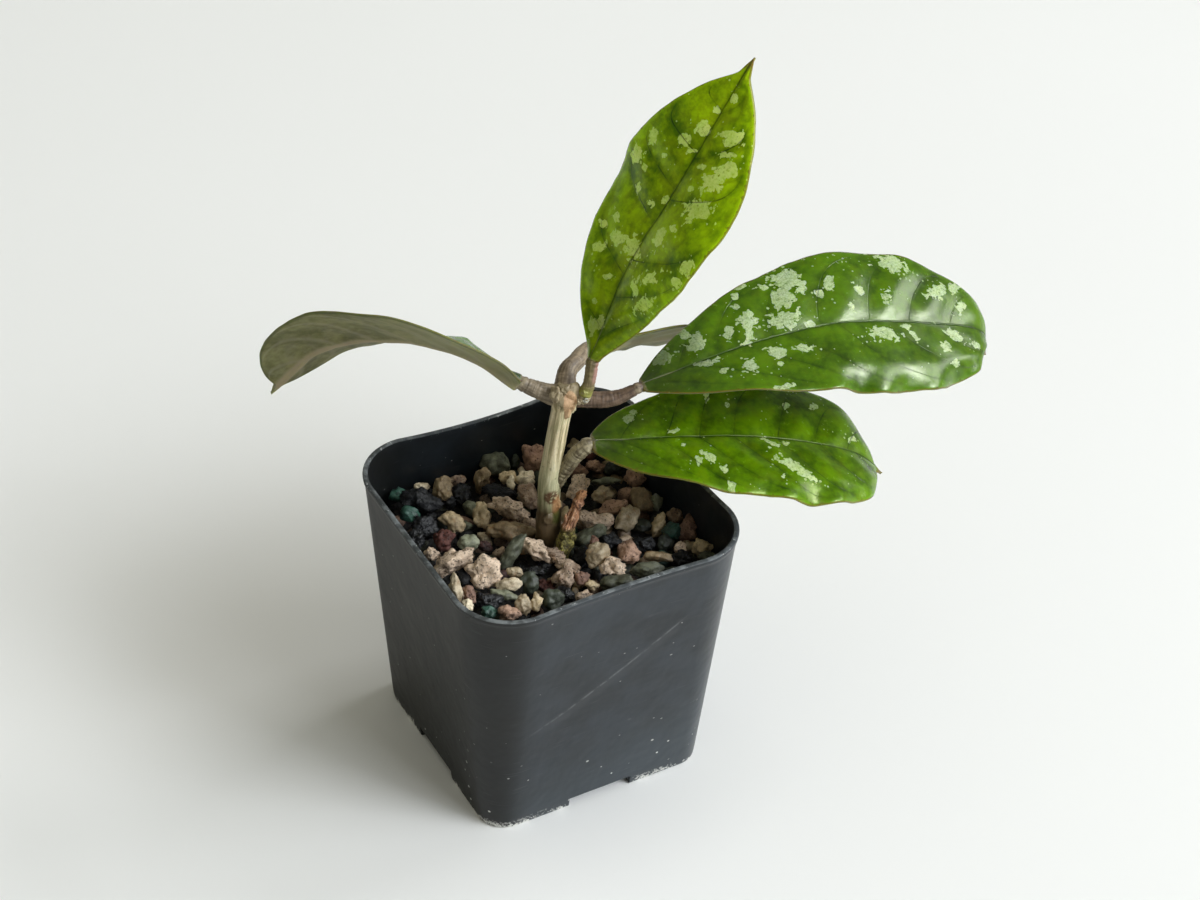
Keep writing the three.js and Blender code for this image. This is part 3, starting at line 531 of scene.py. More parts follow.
def stem_bark():
    """Young bark: pale olive with long streaks, browner at the joints and the foot, and healed scars."""
    f = Finish("stem_bark")
    where, lie = f.place(), f.marks("lie")
    z = f.split(where)[2]
    tall = f.stretch(where, (1, 1, 0.45))  # marks on it come out longer up the stem
    streaks = f.cloud(f.stretch(lie, (1, 1, 0.08)), 1.2, 5, 0.65, 0.3)
    fine = f.cloud(f.stretch(lie, (1, 1, 0.2)), 0.35, 3, 0.6)
    patches = f.cloud(where, 4, 3)
    joint = f.between(z + patches * 3, 103.6, 107)
    cut = f.near(tall, (2.3, -4.4, 47.2), 1.0, 2.1) + f.near(tall, (1.9, -4.2, 45.4), 0.4, 1.5) * 0.8
    cut = f.between(cut + fine * 0.6, 0.5, 0.85)
    bruise = f.near(tall, (-0.1, -3.9, 46.4), 0.4, 1.5) * f.between(f.cloud(where, 0.8, 4), 0.42, 0.58)
    scar = f.near(where, (-1.1, -3.3, 77.2), 1.5, 2.6) * f.between(f.cloud(where, 0.8, 4), 0.34, 0.52)
    sap = f.near(where, (5.6, -6.3, 106.3), 0.4, 1.4) * f.between(f.cloud(where, 0.6), 0.45, 0.6)
    base = f.coats(
        f.blend("988a62", "ecdcb2", f.between(streaks, 0.36, 0.6)),
        ("f4ecd2", f.between(streaks * 0.6 + fine * 0.5, 0.57, 0.7) * 0.5),
        ("a3a878", f.between(patches, 0.46, 0.64) * 0.25),
        ("b3bc92", f.below(z, 80, 91) * 0.45),
        ("6b5638", f.between(f.cloud(where, 1.1, 4), 0.6, 0.72) * 0.4),
        (f.blend("35261a", "6c5233", streaks), f.below(z + patches * 4, 73.5, 78) * 0.92),
        (f.blend("6a5b43", "a08f70", streaks), joint * 0.8),
        (f.blend("a5754a", "ecc9a0", f.cloud(where, 0.7, 4, 0.7)), cut * 0.9),
        ("4a4420", bruise * 0.7),
        (f.blend("3a1e10", "7a4a2c", fine), scar * 0.9),
        (f.blend("9a5a2c", "d29a64", fine), f.near(tall, (0.1, -3.4, 33.5), 0.8, 1.7) * 0.75),
        ("4c561b", f.near(where, (0.5, -3.3, 70.6), 1.2, 2.7) * 0.75),
        ("98993f", f.near(where, (5.9, -6.2, 108.6), 0.9, 2.0) * 0.8),
        ("c9d2d2", sap * 0.6),
    )
    bump = f.relief(streaks * 1.4 + fine * 0.6 + f.cloud(where, 1.2) * joint, 0.22)
    return f.gloss(Base_Color=base, Roughness=0.44 + cut * 0.06 + fine * 0.1, Normal=bump)


def stub_bark():
    """A dead shoot: yellow-green and knobbly at its foot, torn into orange-brown fibres at its top."""
    f = Finish("stub_bark")
    where, lie = f.place(), f.marks("lie")
    z = f.split(where)[2]
    fibres = f.cloud(f.stretch(lie, (1, 1, 0.1)), 0.6, 4, 0.65, 0.4)
    fine = f.cloud(where, 0.9, 5, 0.7)
    low = f.blend("453f1a", "9a9048", f.between(fine, 0.38, 0.68))
    top = f.coats(
        f.blend("6a412c", "d59c72", f.between(fibres, 0.35, 0.65)),
        ("efcbaa", f.between(fine, 0.52, 0.66) * 0.6),
        (f.blend("a86a3c", "ecb482", fine), f.between(z, 75.6, 76.4) * 0.8),
    )
    base = f.blend(low, top, f.between(z + fine * 3, 69.8, 71.6))
    base = f.blend(base, "2e1e10", f.between(f.cloud(where, 1.4, 4), 0.54, 0.66) * 0.7)
    return f.gloss(Base_Color=base, Roughness=0.65 + fine * 0.1, Normal=f.relief(fibres + fine, 0.4))


def root_skin():
    """Pale brown roots with a fine felt."""
    f = Finish("root_skin")
    where = f.place()
    base = f.blend("5b4a33", "a2906d", f.cloud(where, 1.4, 4))
    felt = f.relief(f.cloud(where, 0.6), 0.1)
    return f.gloss(Base_Color=base, Roughness=0.8 + f.cloud(where, 3) * 0.1, Normal=felt)


def petiole_skin(name):
    """Leathery grey-brown skin with fine rings; the upright leaf's one is green below and rosy above."""
    f = Finish("petiole_skin_" + name)
    where, lie, run = f.place(), f.marks("lie"), f.mark("run")
    dark, light = LEAF_LOOKS[name]["stalk"]
    ring_tint, ring_height = (0.6, 1.6) if name == "low" else (0.3, 0.8)
    streaks = f.cloud(f.stretch(lie, (1, 1, 0.22)), 0.8, 4, 0.6, 0.3)
    patches = f.cloud(where, 2.2, 3)
    rings = f.cloud(f.stretch(lie, (0.12, 0.12, 1)), 0.5, 2, 0.5, 0.2)
    base = f.blend(dark, light, f.between(streaks * 0.6 + patches * 0.5, 0.38, 0.68))
    base = f.blend(base, dark, f.between(rings, 0.5, 0.62) * ring_tint)
    if name == "upright":
        x, y, z = f.split(where)
        rightward = x * 0.87 - y * 0.49 - (z - 113.5) * 0.17 - 8.9
        base = f.coats(
            base,
            ("8c8c3c", f.below(run + patches * 0.2, 0.25, 0.55) * 0.85),
            ("b0807a", f.between(rightward + patches, 0.5, 1.5) * f.between(z, 109.5, 112) * 0.7),
        )
    base = f.blend(base, "c9bc9c", f.between(run, 0.9, 0.97) * f.between(patches, 0.42, 0.64) * 0.5)
    bump = f.relief(rings * ring_height + streaks * 0.5, 0.2)
    return f.gloss(Base_Color=base, Roughness=0.5 + patches * 0.15, Normal=bump)


def leaf_skin(name):
    """Waxy leaf: mottled green with dark sunken veins and pale silvery splashes above, dull olive below."""
    f, look = Finish("leaf_skin_" + name), LEAF_LOOKS[name]
    deep, bright, pale = look["greens"]
    length = Route(LEAVES[name]["midrib"], even=True).length
    lie = f.marks("lie")
    far = f.split(lie)[0]
    top, rib, mid, edge, splash = (f.mark(mark) for mark in ("top", "rib", "mid", "edge", "splash"))
    clouds, mottle, fine = f.cloud(lie, 8, 3, 0.55), f.cloud(lie, 2.1, 4, 0.6), f.cloud(lie, 0.45, 3, 0.6)
    strength = f.between(f.cloud(lie, 6, 2), 0.4, 0.6)
    away = f.between(edge, 0.8, 3.0)
    vein = f.below(abs(rib) + f.cloud(lie, 1.2, 3) * 0.3, 0.16, 0.42) * away * (strength * 0.75 + 0.25)
    valley = f.below(abs(rib) + mottle * 1.2, 0.5, 3.2) * away
    midrib = f.below(mid + mottle * 0.25, 0.15, 0.5)
    olive = f.between(f.cloud(lie, 4, 4, 0.65, 0.4), 0.48, 0.62)
    freckles = f.between(f.cloud(lie, 0.9, 3), 0.54, 0.62) * f.below(edge, 0.3, 1.3)
    # splashes with torn edges and holes, and small dots among them
    torn = (f.cloud(lie, 1.7, 1, 0.5, 0.4) - 0.5) * 1.4 + (f.cloud(lie, 0.55, 1) - 0.5) * 0.4
    holes = f.between(f.cloud(lie, 0.75, 3, 0.6), 0.57, 0.63)
    flakes = f.between(splash + torn, 0.5, 0.56) * (1 - holes * 0.6)
    dots = f.cells(lie, 1.5) + f.below(f.cloud(lie, 6, 2), 0.46, 0.6) * 0.4 - splash * 0.35
    flakes = f.larger(flakes, f.below(dots + fine * 0.12, 0.18, 0.22) * 0.75)
    silver = f.blend(pale, bright, f.between(fine * 0.8 + mottle * 0.4, 0.5, 0.74) * 0.5)
    upper = f.coats(
        f.blend(deep, bright, f.between(clouds * 0.7 + mottle * 0.5 - valley * 0.1, *look["mottle"])),
        ("5f6a08", olive * look["olive"]),
        (deep, f.below(mid + mottle * 0.8, 0.4, 1.8) * 0.45),
        (bright, f.below(edge + mottle * 0.8, 0.7, 2.0) * 0.5),
        (silver, flakes * (0.66 + f.between(far, 8, 28) * 0.32)),
        ("1d370c", vein * look["veins"]),
        ("28410f", midrib * 0.6),
        # darker, duller green towards the stalk end: partly the leaf's own colour, partly painted shade
        ("2e3b16", f.below(far + mottle * 6, 3, 27) * look["dull"]),
        ("a9a783", midrib * f.below(far, 5, 12) * 0.6),
        ("8d8160", f.below(far + fine * 0.8, 1.0, 1.8) * 0.8),
        ("54401a", freckles * 0.6),
        ("6f5a2a", f.below(edge, 0.12, 0.4) * 0.75),
        ("7a5c34", f.between(far + mottle * 2, length - 2.6, length - 0.6) * 0.8),
    )
    under = f.coats(
        f.blend("595838", "807d59", f.between(clouds * 0.5 + mottle * 0.5, 0.35, 0.65)),
        ("8f8871", f.below(abs(rib), 0.2, 1.4) * 0.4),
        ("a19276", f.below(mid, 0.8, 2.2) * 0.7),
        # painted light: the underside paler towards the stalk, for the glow the lit floor throws up
        ("a2a07f", f.below(far, 10, 45) * 0.5),
        ("3f422a", f.below(edge, 0.2, 0.9) * 0.6),
    )
    height = fine * 0.2 + mottle * 0.5 - vein * 0.4 - midrib * 1.2 + flakes * 0.3
    strength_of_wax, tint = look["wax"]
    return f.gloss(
        Base_Color=f.blend(under, upper, f.between(top, 0.35, 0.65)),
        Roughness=0.62 - top * 0.4 + flakes * top * 0.12 + mottle * 0.08,
        Normal=f.relief(height, 0.12), Specular_IOR_Level=strength_of_wax, Specular_Tint=tint,
        Subsurface_Weight=0.5, Subsurface_Radius=(0.7, 1.0, 0.06), Subsurface_Scale=0.0025,
    )


def plain_floor():
    f = Finish("plain_floor")
    where = f.place()
    base = f.blend("ececea", "f1f1ef", f.cloud(where, 300, 2))
    return f.gloss(Base_Color=base, Roughness=0.75)


# ---- making shapes ------------------------------------------------------------------------------


def mix(low, high, share):
    return low + (high - low) * share


def clamp(value, low=0.0, high=1.0):
    return max(low, min(high, value))


def smooth(share):
    share = clamp(share)
    return share * share * (3 - 2 * share)


def new_object(bm, name, material=None):
    """Brings a shape to metres and puts it in the scene."""
    bmesh.ops.scale(bm, vec=(MM, MM, MM), verts=bm.verts)
    mesh = bpy.data.meshes.new(name)
    bm.to_mesh(mesh)
    bm.free()
    if material:
        mesh.materials.append(material)
    thing = bpy.data.objects.new(name, mesh)
    bpy.context.scene.collection.objects.link(thing)
    return thing


def finished(bm, name, material, nodes):
    """Closes the seams, turns the faces outwards and makes the shape a piece that stands for its nodes."""
    bmesh.ops.remove_doubles(bm, verts=bm.verts, dist=0.002)
    bmesh.ops.dissolve_degenerate(bm, edges=bm.edges, dist=0.0005)
    bmesh.ops.recalc_face_normals(bm, faces=bm.faces)
    for face in bm.faces:
        face.smooth = True
    piece = new_object(bm, name, material)
    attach(piece, "root")
    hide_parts(*nodes)
    return piece


def peak(distance, spread):
    """1 at no distance, falling off on both sides in a bell."""
    return math.exp(-((distance / spread) ** 2))


def unevenness(way, fineness, *shift):
    """A smooth random number for a way of looking, between about -1 and 1."""
    return noise.noise(way * fineness + Vector(shift))


def draw_rings(bm, sides, count, place, capped=False):
    """Draws a circle out ring by ring. place puts a point of a ring, by the ring's and its own number."""
    number = bm.verts.layers.int.get("number")
    ring = bmesh.ops.create_circle(bm, cap_ends=capped, segments=sides, radius=1.0)["verts"]
    for i, vert in enumerate(ring):
        vert[number] = i
    edges = list({edge for vert in ring for edge in vert.link_edges})
    for j in range(count):
        if j:
            drawn = bmesh.ops.extrude_edge_only(bm, edges=edges)["geom"]
            ring = [item for item in drawn if isinstance(item, bmesh.types.BMVert)]
            own = set(ring)
            edges = [item for item in drawn if isinstance(item, bmesh.types.BMEdge)
                     and item.verts[0] in own and item.verts[1] in own]
        for vert in ring:
            place(vert, j, vert[number])
    if capped:
        bmesh.ops.contextual_create(bm, geom=edges)


class Route:
    """A smooth curve through points. even spaces its bends by point, and else by distance."""

    STEPS = 40  # between two points

    def __init__(self, points, even=False, count=240):
        points = [Vector(p) for p in points]
        points = [2 * points[0] - points[1], *points, 2 * points[-1] - points[-2]]
        fine = []
        for a, b, c, d in zip(points, points[1:], points[2:], points[3:]):
            g0, g1, g2 = (1.0 if even else (q - p).length ** 0.5 for p, q in ((a, b), (b, c), (c, d)))
            leave = ((b - a) / g0 - (c - a) / (g0 + g1) + (c - b) / g1) * g1
            arrive = ((c - b) / g1 - (d - b) / (g1 + g2) + (d - c) / g2) * g1
            for k in range(self.STEPS):
                s = k / self.STEPS
                fine.append(
                    b * (2 * s**3 - 3 * s**2 + 1) + leave * (s**3 - 2 * s**2 + s)
                    + c * (3 * s**2 - 2 * s**3) + arrive * (s**3 - s**2))
        fine.append(points[-2])
        lengths = [0.0]
        for p, q in zip(fine, fine[1:]):
            lengths.append(lengths[-1] + (q - p).length)
        self.length = lengths[-1]
        self.points, k = [], 0
        for i in range(count + 1):
            s = self.length * i / count
            while k < len(fine) - 2 and lengths[k + 1] < s:
                k += 1
            share = (s - lengths[k]) / max(lengths[k + 1] - lengths[k], 1e-9)
            self.points.append(fine[k].lerp(fine[k + 1], share))
        runs = [(q - p).normalized() for p, q in zip(self.points, self.points[1:])]
        self.runs = [runs[0]] + [(p + q).normalized() for p, q in zip(runs, runs[1:])] + [runs[-1]]
        side = self.runs[0].orthogonal().normalized()
        self.sides = []
        for run in self.runs:
            side = (side - run * side.dot(run)).normalized()
            self.sides.append(side)

    def at(self, t):
        """The point, the way the curve runs and a steady side way, at a share of its length."""
        place = clamp(t) * (len(self.points) - 1)
        k = min(int(place), len(self.points) - 2)
        share = place - k
        point, run, side = (
            row[k].lerp(row[k + 1], share) for row in (self.points, self.runs, self.sides))
        return point, run.normalized(), side.normalized()


ROUND_END = [(0, 0), (0.12, 0.5), (0.4, 0.82), (0.75, 0.97)]  # place and width, as shares of the cap's
CAP_DEPTH = 0.7  # as a share of the rod's radius there


def draw_rod(bm, route, radius, sides, rings):
    """A round rod along a route. radius goes by share of the length and angle, and both ends close."""
    lie, run_mark = bm.verts.layers.float_vector.get("lie"), bm.verts.layers.float.get("run")
    stops = [(share * CAP_DEPTH / route.length * radius(0, 0), width) for share, width in ROUND_END]
    stops += [(mix(stops[-1][0], 1, (k + 1) / rings), 1) for k in range(rings - 1)]
    for share, width in reversed(ROUND_END):
        stops.append((1 - share * CAP_DEPTH / route.length * radius(1, 0), width))
    stops.sort(key=lambda stop: stop[0])

    def place(vert, j, i):
        t, width = stops[j]
        point, run, side = route.at(t)
        angle = 2 * math.pi * i / sides
        r = radius(t, angle) * width
        out = side * math.cos(angle) + run.cross(side) * math.sin(angle)
        vert.co = point + out * r
        vert[lie] = (STEM_RADIUS * math.cos(angle), STEM_RADIUS * math.sin(angle), t * route.length)
        vert[run_mark] = t

    draw_rings(bm, sides, len(stops), place)


def new_rod_shape():
    """An empty shape whose points carry what draw_rod and the barks need."""
    bm = bmesh.new()
    bm.verts.layers.int.new("number")
    bm.verts.layers.float_vector.new("lie")
    bm.verts.layers.float.new("run")
    return bm


def draw_knobs(bm, knobs, seeds, rough=0.16):
    """Small rounded swellings with an uneven skin. seeds are the first knob's and the step to the next."""
    lie = bm.verts.layers.float_vector.get("lie")
    for number, (middle, half) in enumerate(knobs):
        seed = seeds[0] + number * seeds[1]
        for vert in bmesh.ops.create_icosphere(bm, subdivisions=4, radius=1.0)["verts"]:
            out = vert.co.normalized()
            bump = 1 + rough * unevenness(out, 1.7, seed, 0, 0)
            bump += 0.5 * rough * unevenness(out, 4, 0, seed, 0)
            vert.co = Vector(middle) + Vector((a * b for a, b in zip(out * bump, half)))
            vert[lie] = vert.co


# ---- the pot ------------------------------------------------------------------------------------

SIDE_CELLS, CORNER_CELLS = 10, 14
POT_SIDES = 4 * (SIDE_CELLS + CORNER_CELLS)


def pot_half(z):
    return mix(POT_BASE_HALF, POT_RIM_HALF, z / POT_HEIGHT)


def pot_corner(z):
    return mix(POT_BASE_CORNER, POT_RIM_CORNER, z / POT_HEIGHT)


def pot_point(i, z, inset, level=None):
    """A point of the pot's outline at the height level, moved inwards, put at the height z."""
    level = z if level is None else level
    half, corner = pot_half(level) - inset, max(pot_corner(level) - inset, 2)
    wall, k = divmod(i, SIDE_CELLS + CORNER_CELLS)
    core = half - corner
    name = ("front", "right", "back", "left")[wall]
    if k <= SIDE_CELLS:
        across = mix(-1, 1, k / SIDE_CELLS)
        push = POT_BOW[name] * (1 - across * across) * (max(level, 0) / POT_HEIGHT) ** 2
        x, y = core * across, push - half
    else:
        angle = math.pi / 2 * (k - SIDE_CELLS) / CORNER_CELLS
        x, y = core + corner * math.sin(angle), -core - corner * math.cos(angle)
    turn = math.pi / 2 * wall
    return Vector((x * math.cos(turn) - y * math.sin(turn), x * math.sin(turn) + y * math.cos(turn), z))


def block_at(wall, low, high):
    """A plain block as a loose object, for cutting. Its corners are told for the right wall."""
    c, s = round(math.cos(wall * math.pi / 2)), round(math.sin(wall * math.pi / 2))
    ends = [(c * x - s * y, s * x + c * y, z) for x, y, z in (low, high)]
    low, high = (Vector([pick(pair) for pair in zip(*ends)]) for pick in (min, max))
    bm = bmesh.new()
    size = Matrix.Diagonal((*(high - low), 1))
    bmesh.ops.create_cube(bm, size=1, matrix=Matrix.Translation((low + high) / 2) @ size)
    return new_object(bm, "block")


def carve(piece, block, how):
    """Joins a block to a piece or cuts it out, and takes the block away."""
    change = piece.modifiers.new("carve", "BOOLEAN")
    change.operation, change.solver, change.object = how, "EXACT", block
    bpy.context.view_layer.update()
    after = bpy.data.meshes.new_from_object(piece.evaluated_get(bpy.context.evaluated_depsgraph_get()))
    piece.modifiers.clear()
    before, piece.data = piece.data, after
    after.name = piece.name
    for old in (before, block.data):
        bpy.data.meshes.remove(old)


def make_pot(material):
    """The thin-walled pot: tapering walls, a small lip, and a foot with four gaps and drain slots."""
    lip_foot, top = POT_HEIGHT - LIP_HEIGHT, POT_HEIGHT
    # rings up the outside, over the lip and down the inside: height, move inwards, the outline's height
    levels = [(0.0, POT_EDGE + 3, 0), (0.0, POT_EDGE, 0), (0.07, 0.33, 0), (0.3, 0.07, 0), (POT_EDGE, 0, 0)]
    levels += [(z, 0, z) for z in (2, 4, 6, 9, *range(12, 72, 4), 71.6)]
    levels += [(lip_foot - 0.3, -0.04, lip_foot), (lip_foot, -LIP_OUT, lip_foot), (top - 0.5, -LIP_OUT, top)]
    levels += [(top - 0.15, -LIP_OUT + 0.06, top), (top, -0.02, top), (top, 0.7, top)]
    levels += [(top - 0.12, POT_WALL - 0.1, top), (top - 0.4, POT_WALL, top)]
    levels += [(z, POT_WALL, z) for z in (71.6, *range(68, 8, -4), 5, 2.4)]
    levels += [(POT_FLOOR + 0.5, POT_WALL + 0.15, POT_FLOOR), (POT_FLOOR, POT_WALL + 0.7, POT_FLOOR)]
    bm = bmesh.new()
    bm.verts.layers.int.new("number")

    def place(vert, j, i):
        z, inset, level = levels[j]
        vert.co = pot_point(i, z, inset, level)

    draw_rings(bm, POT_SIDES, len(levels), place, capped=True)
    pot = finished(bm, "nursery_pot", material, ["pot"])
    half_width, roof, inner = FOOT_GAP["width"] / 2, FOOT_GAP["height"], POT_BASE_HALF - FOOT_GAP["depth"]
    half_slot, half_long = DRAIN_SLOT["width"] / 2, DRAIN_SLOT["length"] / 2
    middle = POT_BASE_HALF - DRAIN_SLOT["inset"]
    for how, low, high in (
        ("UNION", (inner - POT_WALL, -half_width - POT_WALL, POT_FLOOR / 2),
         (POT_BASE_HALF - POT_WALL / 2, half_width + POT_WALL, roof + POT_WALL)),
        ("DIFFERENCE", (inner, -half_width, -1), (POT_BASE_HALF + 4, half_width, roof)),
        ("DIFFERENCE", (middle - half_slot, -half_long, roof - 1), (middle + half_slot, half_long, roof + 3)),
    ):
        for wall in range(4):
            carve(pot, block_at(wall, low, high), how)
    pot.data.set_sharp_from_angle(angle=math.radians(SHARP_TURN))
    return pot


# ---- the gravel ---------------------------------------------------------------------------------


def make_bed(material):
    """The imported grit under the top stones, right up to the pot's wall."""
    bm = bmesh.new()
    bm.verts.layers.int.new("number")
    inset = POT_WALL + 0.25
    levels = [(z, inset) for z in (BED_BOTTOM, 15, 30, 45, BED_TOP - 1)]
    levels += [(BED_TOP, inset + reach) for reach in (1, 3, 5, 8, 11, 14, 17, 20, 23, 26, 29)]

    def place(vert, j, i):
        z, inward = levels[j]
        vert.co = pot_point(i, z, inset)
        if inward > inset:
            share = 1 - (inward - inset) / (pot_half(BED_TOP) - inset)
            vert.co.x, vert.co.y = vert.co.x * share, vert.co.y * share
            vert.co.z = z + 0.8 * noise.noise(vert.co * 0.45)

    draw_rings(bm, POT_SIDES, len(levels), place, capped=True)
    return finished(bm, "gravel_bed", material, ["gravel"])


def keep_inside(point, room=0.15):
    """Moves a point in, where it would be in the pot's wall or nearer to it than room."""
    core, round_part = pot_half(point.z) - pot_corner(point.z), pot_corner(point.z) - POT_WALL - room
    level = (point.z / POT_HEIGHT) ** 2
    for axis, names in ((0, ("left", "right")), (1, ("front", "back"))):
        bow = POT_BOW[names[point[axis] > 0]] * max(1 - (point[1 - axis] / core) ** 2, 0) * level
        limit = core + round_part - bow
        point[axis] = clamp(point[axis], -limit, limit)
    over = Vector((max(abs(point.x) - core, 0), max(abs(point.y) - core, 0)))
    if over.length > round_part:
        over *= round_part / over.length
        point.x, point.y = math.copysign(core + over.x, point.x), math.copysign(core + over.y, point.y)
    return point


def draw_stone(bm, kind, middle, half, ways, rng, fineness):
    """One stone: a ball drawn out to size and turned, with broken flats, lumps and pits."""
    flats, lumps, pits, _ = STONE_KINDS[kind]
    tone = bm.verts.layers.float.get("tone")
    shade = rng.random()
    off = Vector((rng.uniform(0, 90), rng.uniform(0, 90), rng.uniform(0, 90)))
    breaks = [(Vector([rng.gauss(0, 1) for _ in range(3)]).normalized(), rng.uniform(0.6, 0.9))
              for _ in range(flats)]
    size = sum(half) / 3
    made = bmesh.ops.create_icosphere(bm, subdivisions=fineness, radius=1.0)["verts"]
    places = []
    for vert in made:
        point = vert.co.normalized()
        for way, depth in breaks:
            point -= way * max(point.dot(way) - depth, 0) * 0.85
        place = ways[0] * (point.x * half[0]) + ways[1] * (point.y * half[1]) + ways[2] * (point.z * half[2])
        spot = place / size + off
        out = place.normalized() * size
        rise = 0.9 * lumps * noise.noise(spot * 1.25) + 0.55 * lumps * noise.noise(spot * 2.6)
        if fineness > 3:
            rise += pits * 0.6 * noise.noise(spot * 5.5) + pits * 0.4 * noise.noise(spot * 11)
        places.append(place + out * rise)
        vert[tone] = shade
    reach = [max(abs(place.dot(way)) for place in places) for way in ways]
    for vert, place in zip(made, places):
        parts = [way * (place.dot(way) / far * own) for way, far, own in zip(ways, reach, half)]
        vert.co = keep_inside(Vector(middle) + parts[0] + parts[1] + parts[2])


def loose_stones(rng):
    """Places for the rest of the bed's stones, in two layers, clear of the wall and of each other."""
    taken = [(x, y, (long + wide) / 2 * 0.95) for rows in STONES.values() for x, y, _, long, wide, _ in rows]
    found = []
    core = pot_half(TOP_LEVEL) - pot_corner(TOP_LEVEL)
    for level, spread, closeness, tries in LOOSE_LAYERS:
        seen = list(taken) if level > TOP_LEVEL else []
        for _ in range(tries):
            radius = mix(*LOOSE_RADIUS, rng.random())
            room = pot_half(TOP_LEVEL) - POT_WALL - radius - 0.2
            x, y = rng.uniform(-room, room), rng.uniform(-room, room)
            over = math.hypot(max(abs(x) - core, 0), max(abs(y) - core, 0))
            if over > pot_corner(TOP_LEVEL) - POT_WALL - radius:
                continue
            if all(math.hypot(x - a, y - b) > closeness * (radius + r) for a, b, r in seen):
                seen.append((x, y, radius))
                found.append((x, y, level + rng.uniform(-0.5, 0.5) * spread, radius))
    return found


def make_stones(materials):
    """All the stones, in one piece for each kind."""
    rng = random.Random(7)
    shapes = {}
    for kind in STONES:
        shapes[kind] = bmesh.new()
        shapes[kind].verts.layers.float.new("tone")
    for kind, rows in STONES.items():
        for x, y, z, long, wide, turn in rows:
            angle = math.radians(turn)
            way = VIEW_RIGHT * math.cos(angle) + VIEW_UP * math.sin(angle)
            ways = (way, VIEW_BACK.cross(way), VIEW_BACK)
            deep = (long + wide) / 2 * rng.uniform(0.75, 0.95)
            middle = keep_inside(Vector((x, y, z)), 0.7 * min(long, wide))
            half = (long * STONE_SWELL, wide * STONE_SWELL, deep)
            draw_stone(shapes[kind], kind, middle, half, ways, rng, 4)
    kinds, shares = list(STONE_KINDS), [row[3] for row in STONE_KINDS.values()]
    for x, y, z, radius in loose_stones(rng):
        kind = rng.choices(kinds, shares)[0]
        long = Vector((rng.gauss(0, 1), rng.gauss(0, 1), rng.gauss(0, 0.4))).normalized()
        wide = long.orthogonal().normalized()
        half = (radius * rng.uniform(1, 1.25), radius * rng.uniform(0.8, 1), radius * rng.uniform(0.65, 0.9))
        fineness = 3 if z > TOP_LEVEL else 2
        draw_stone(shapes[kind], kind, (x, y, z), half, (long, wide, long.cross(wide)), rng, fineness)
    for kind, bm in shapes.items():
        finished(bm, "stones_" + kind, materials[kind], ["gravel"])


# ---- stem, stub and petioles --------------------------------------------------------------------


def make_stem(material):
    """The upright stem with its two joints, its capped top and the knobs that shoots left behind."""
    bm = new_rod_shape()
    route = Route(STEM_ROUTE)

    def radius(t, angle):
        z = route.at(t)[0].z
        swell = sum(rise * peak(z - height, spread) for height, rise, spread in STEM_JOINTS)
        way = Vector((math.cos(angle), math.sin(angle), 0))
        ridge = 0.08 * unevenness(way, 3.4, 0, 0, z * 0.09) + 0.06 * unevenness(way, 8, 0, 0, z * 0.2)
        rough = (0.5 if z > 101.5 or z < 73 else 0.12) * unevenness(way, 1.8, 0, 0, z * 0.5)
        ring = -0.16 * peak(z - 101.7 - 0.5 * math.sin(angle * 2), 0.35)
        ring -= 0.05 * peak(z - 78.4 - 0.4 * math.sin(angle + 1), 0.4)
        slim = 0.2 * smooth((z - 80) / 8)
        return STEM_RADIUS - slim + swell - 0.35 * max(z - 106, 0) + 0.6 * ridge + 0.5 * rough + ring

    draw_rod(bm, route, radius, 56, 220)
    draw_knobs(bm, STEM_KNOBS, (0, 5.3))
    draw_knobs(bm, STEM_BUDS, (20, 3.1), 0.45)
    return finished(bm, "stem", material, ["main_stem"])


def along(rows, t):
    """A number read off rows of place and value, with soft turns between."""
    for (a, low), (b, high) in zip(rows, rows[1:]):
        if t <= b:
            return mix(low, high, smooth((t - a) / (b - a)))
    return rows[-1][1]


def make_stub(material):
    """The dead shoot beside the stem, knobbly below, with a torn fibrous end."""
    bm = new_rod_shape()
    route = Route(STUB_ROUTE)

    def radius(t, angle):
        way = Vector((math.cos(angle), math.sin(angle), 0))
        lump = 0.7 * unevenness(way, 1.3, 0, 0, t * 11)
        crease = 0.35 * unevenness(way, 2.6, 0, 9, t * 26)
        fibre = 0.4 * unevenness(way, 5.5, 0, 0, t * 5) * smooth((t - 0.55) / 0.15)
        return max(along(STUB_RADII, t) + (lump + crease) * (1 - 0.5 * t) + fibre, 0.4)

    draw_rod(bm, route, radius, 44, 130)
    rng = random.Random(3)
    for _ in range(SPLINTERS):
        t = rng.uniform(0.6, 0.97)
        angle = rng.uniform(0, 2 * math.pi)
        point, run, side = route.at(t)
        out = side * math.cos(angle) + run.cross(side) * math.sin(angle)
        foot = point + out * along(STUB_RADII, t) * 0.8
        end = foot + run * rng.uniform(0.8, 2.0) + out * rng.uniform(0.1, 0.45)
        thick = rng.uniform(0.2, 0.38)
        splinter = Route([foot - run, foot, (foot + end) / 2 + out * 0.15, end], count=20)
        draw_rod(bm, splinter, lambda t, a, thick=thick: thick * (1.05 - 0.8 * t), 8, 8)
    draw_knobs(bm, STUB_KNOBS, (40, 3.7), 0.35)
    return finished(bm, "dead_shoot", material, ["dead_stub"])


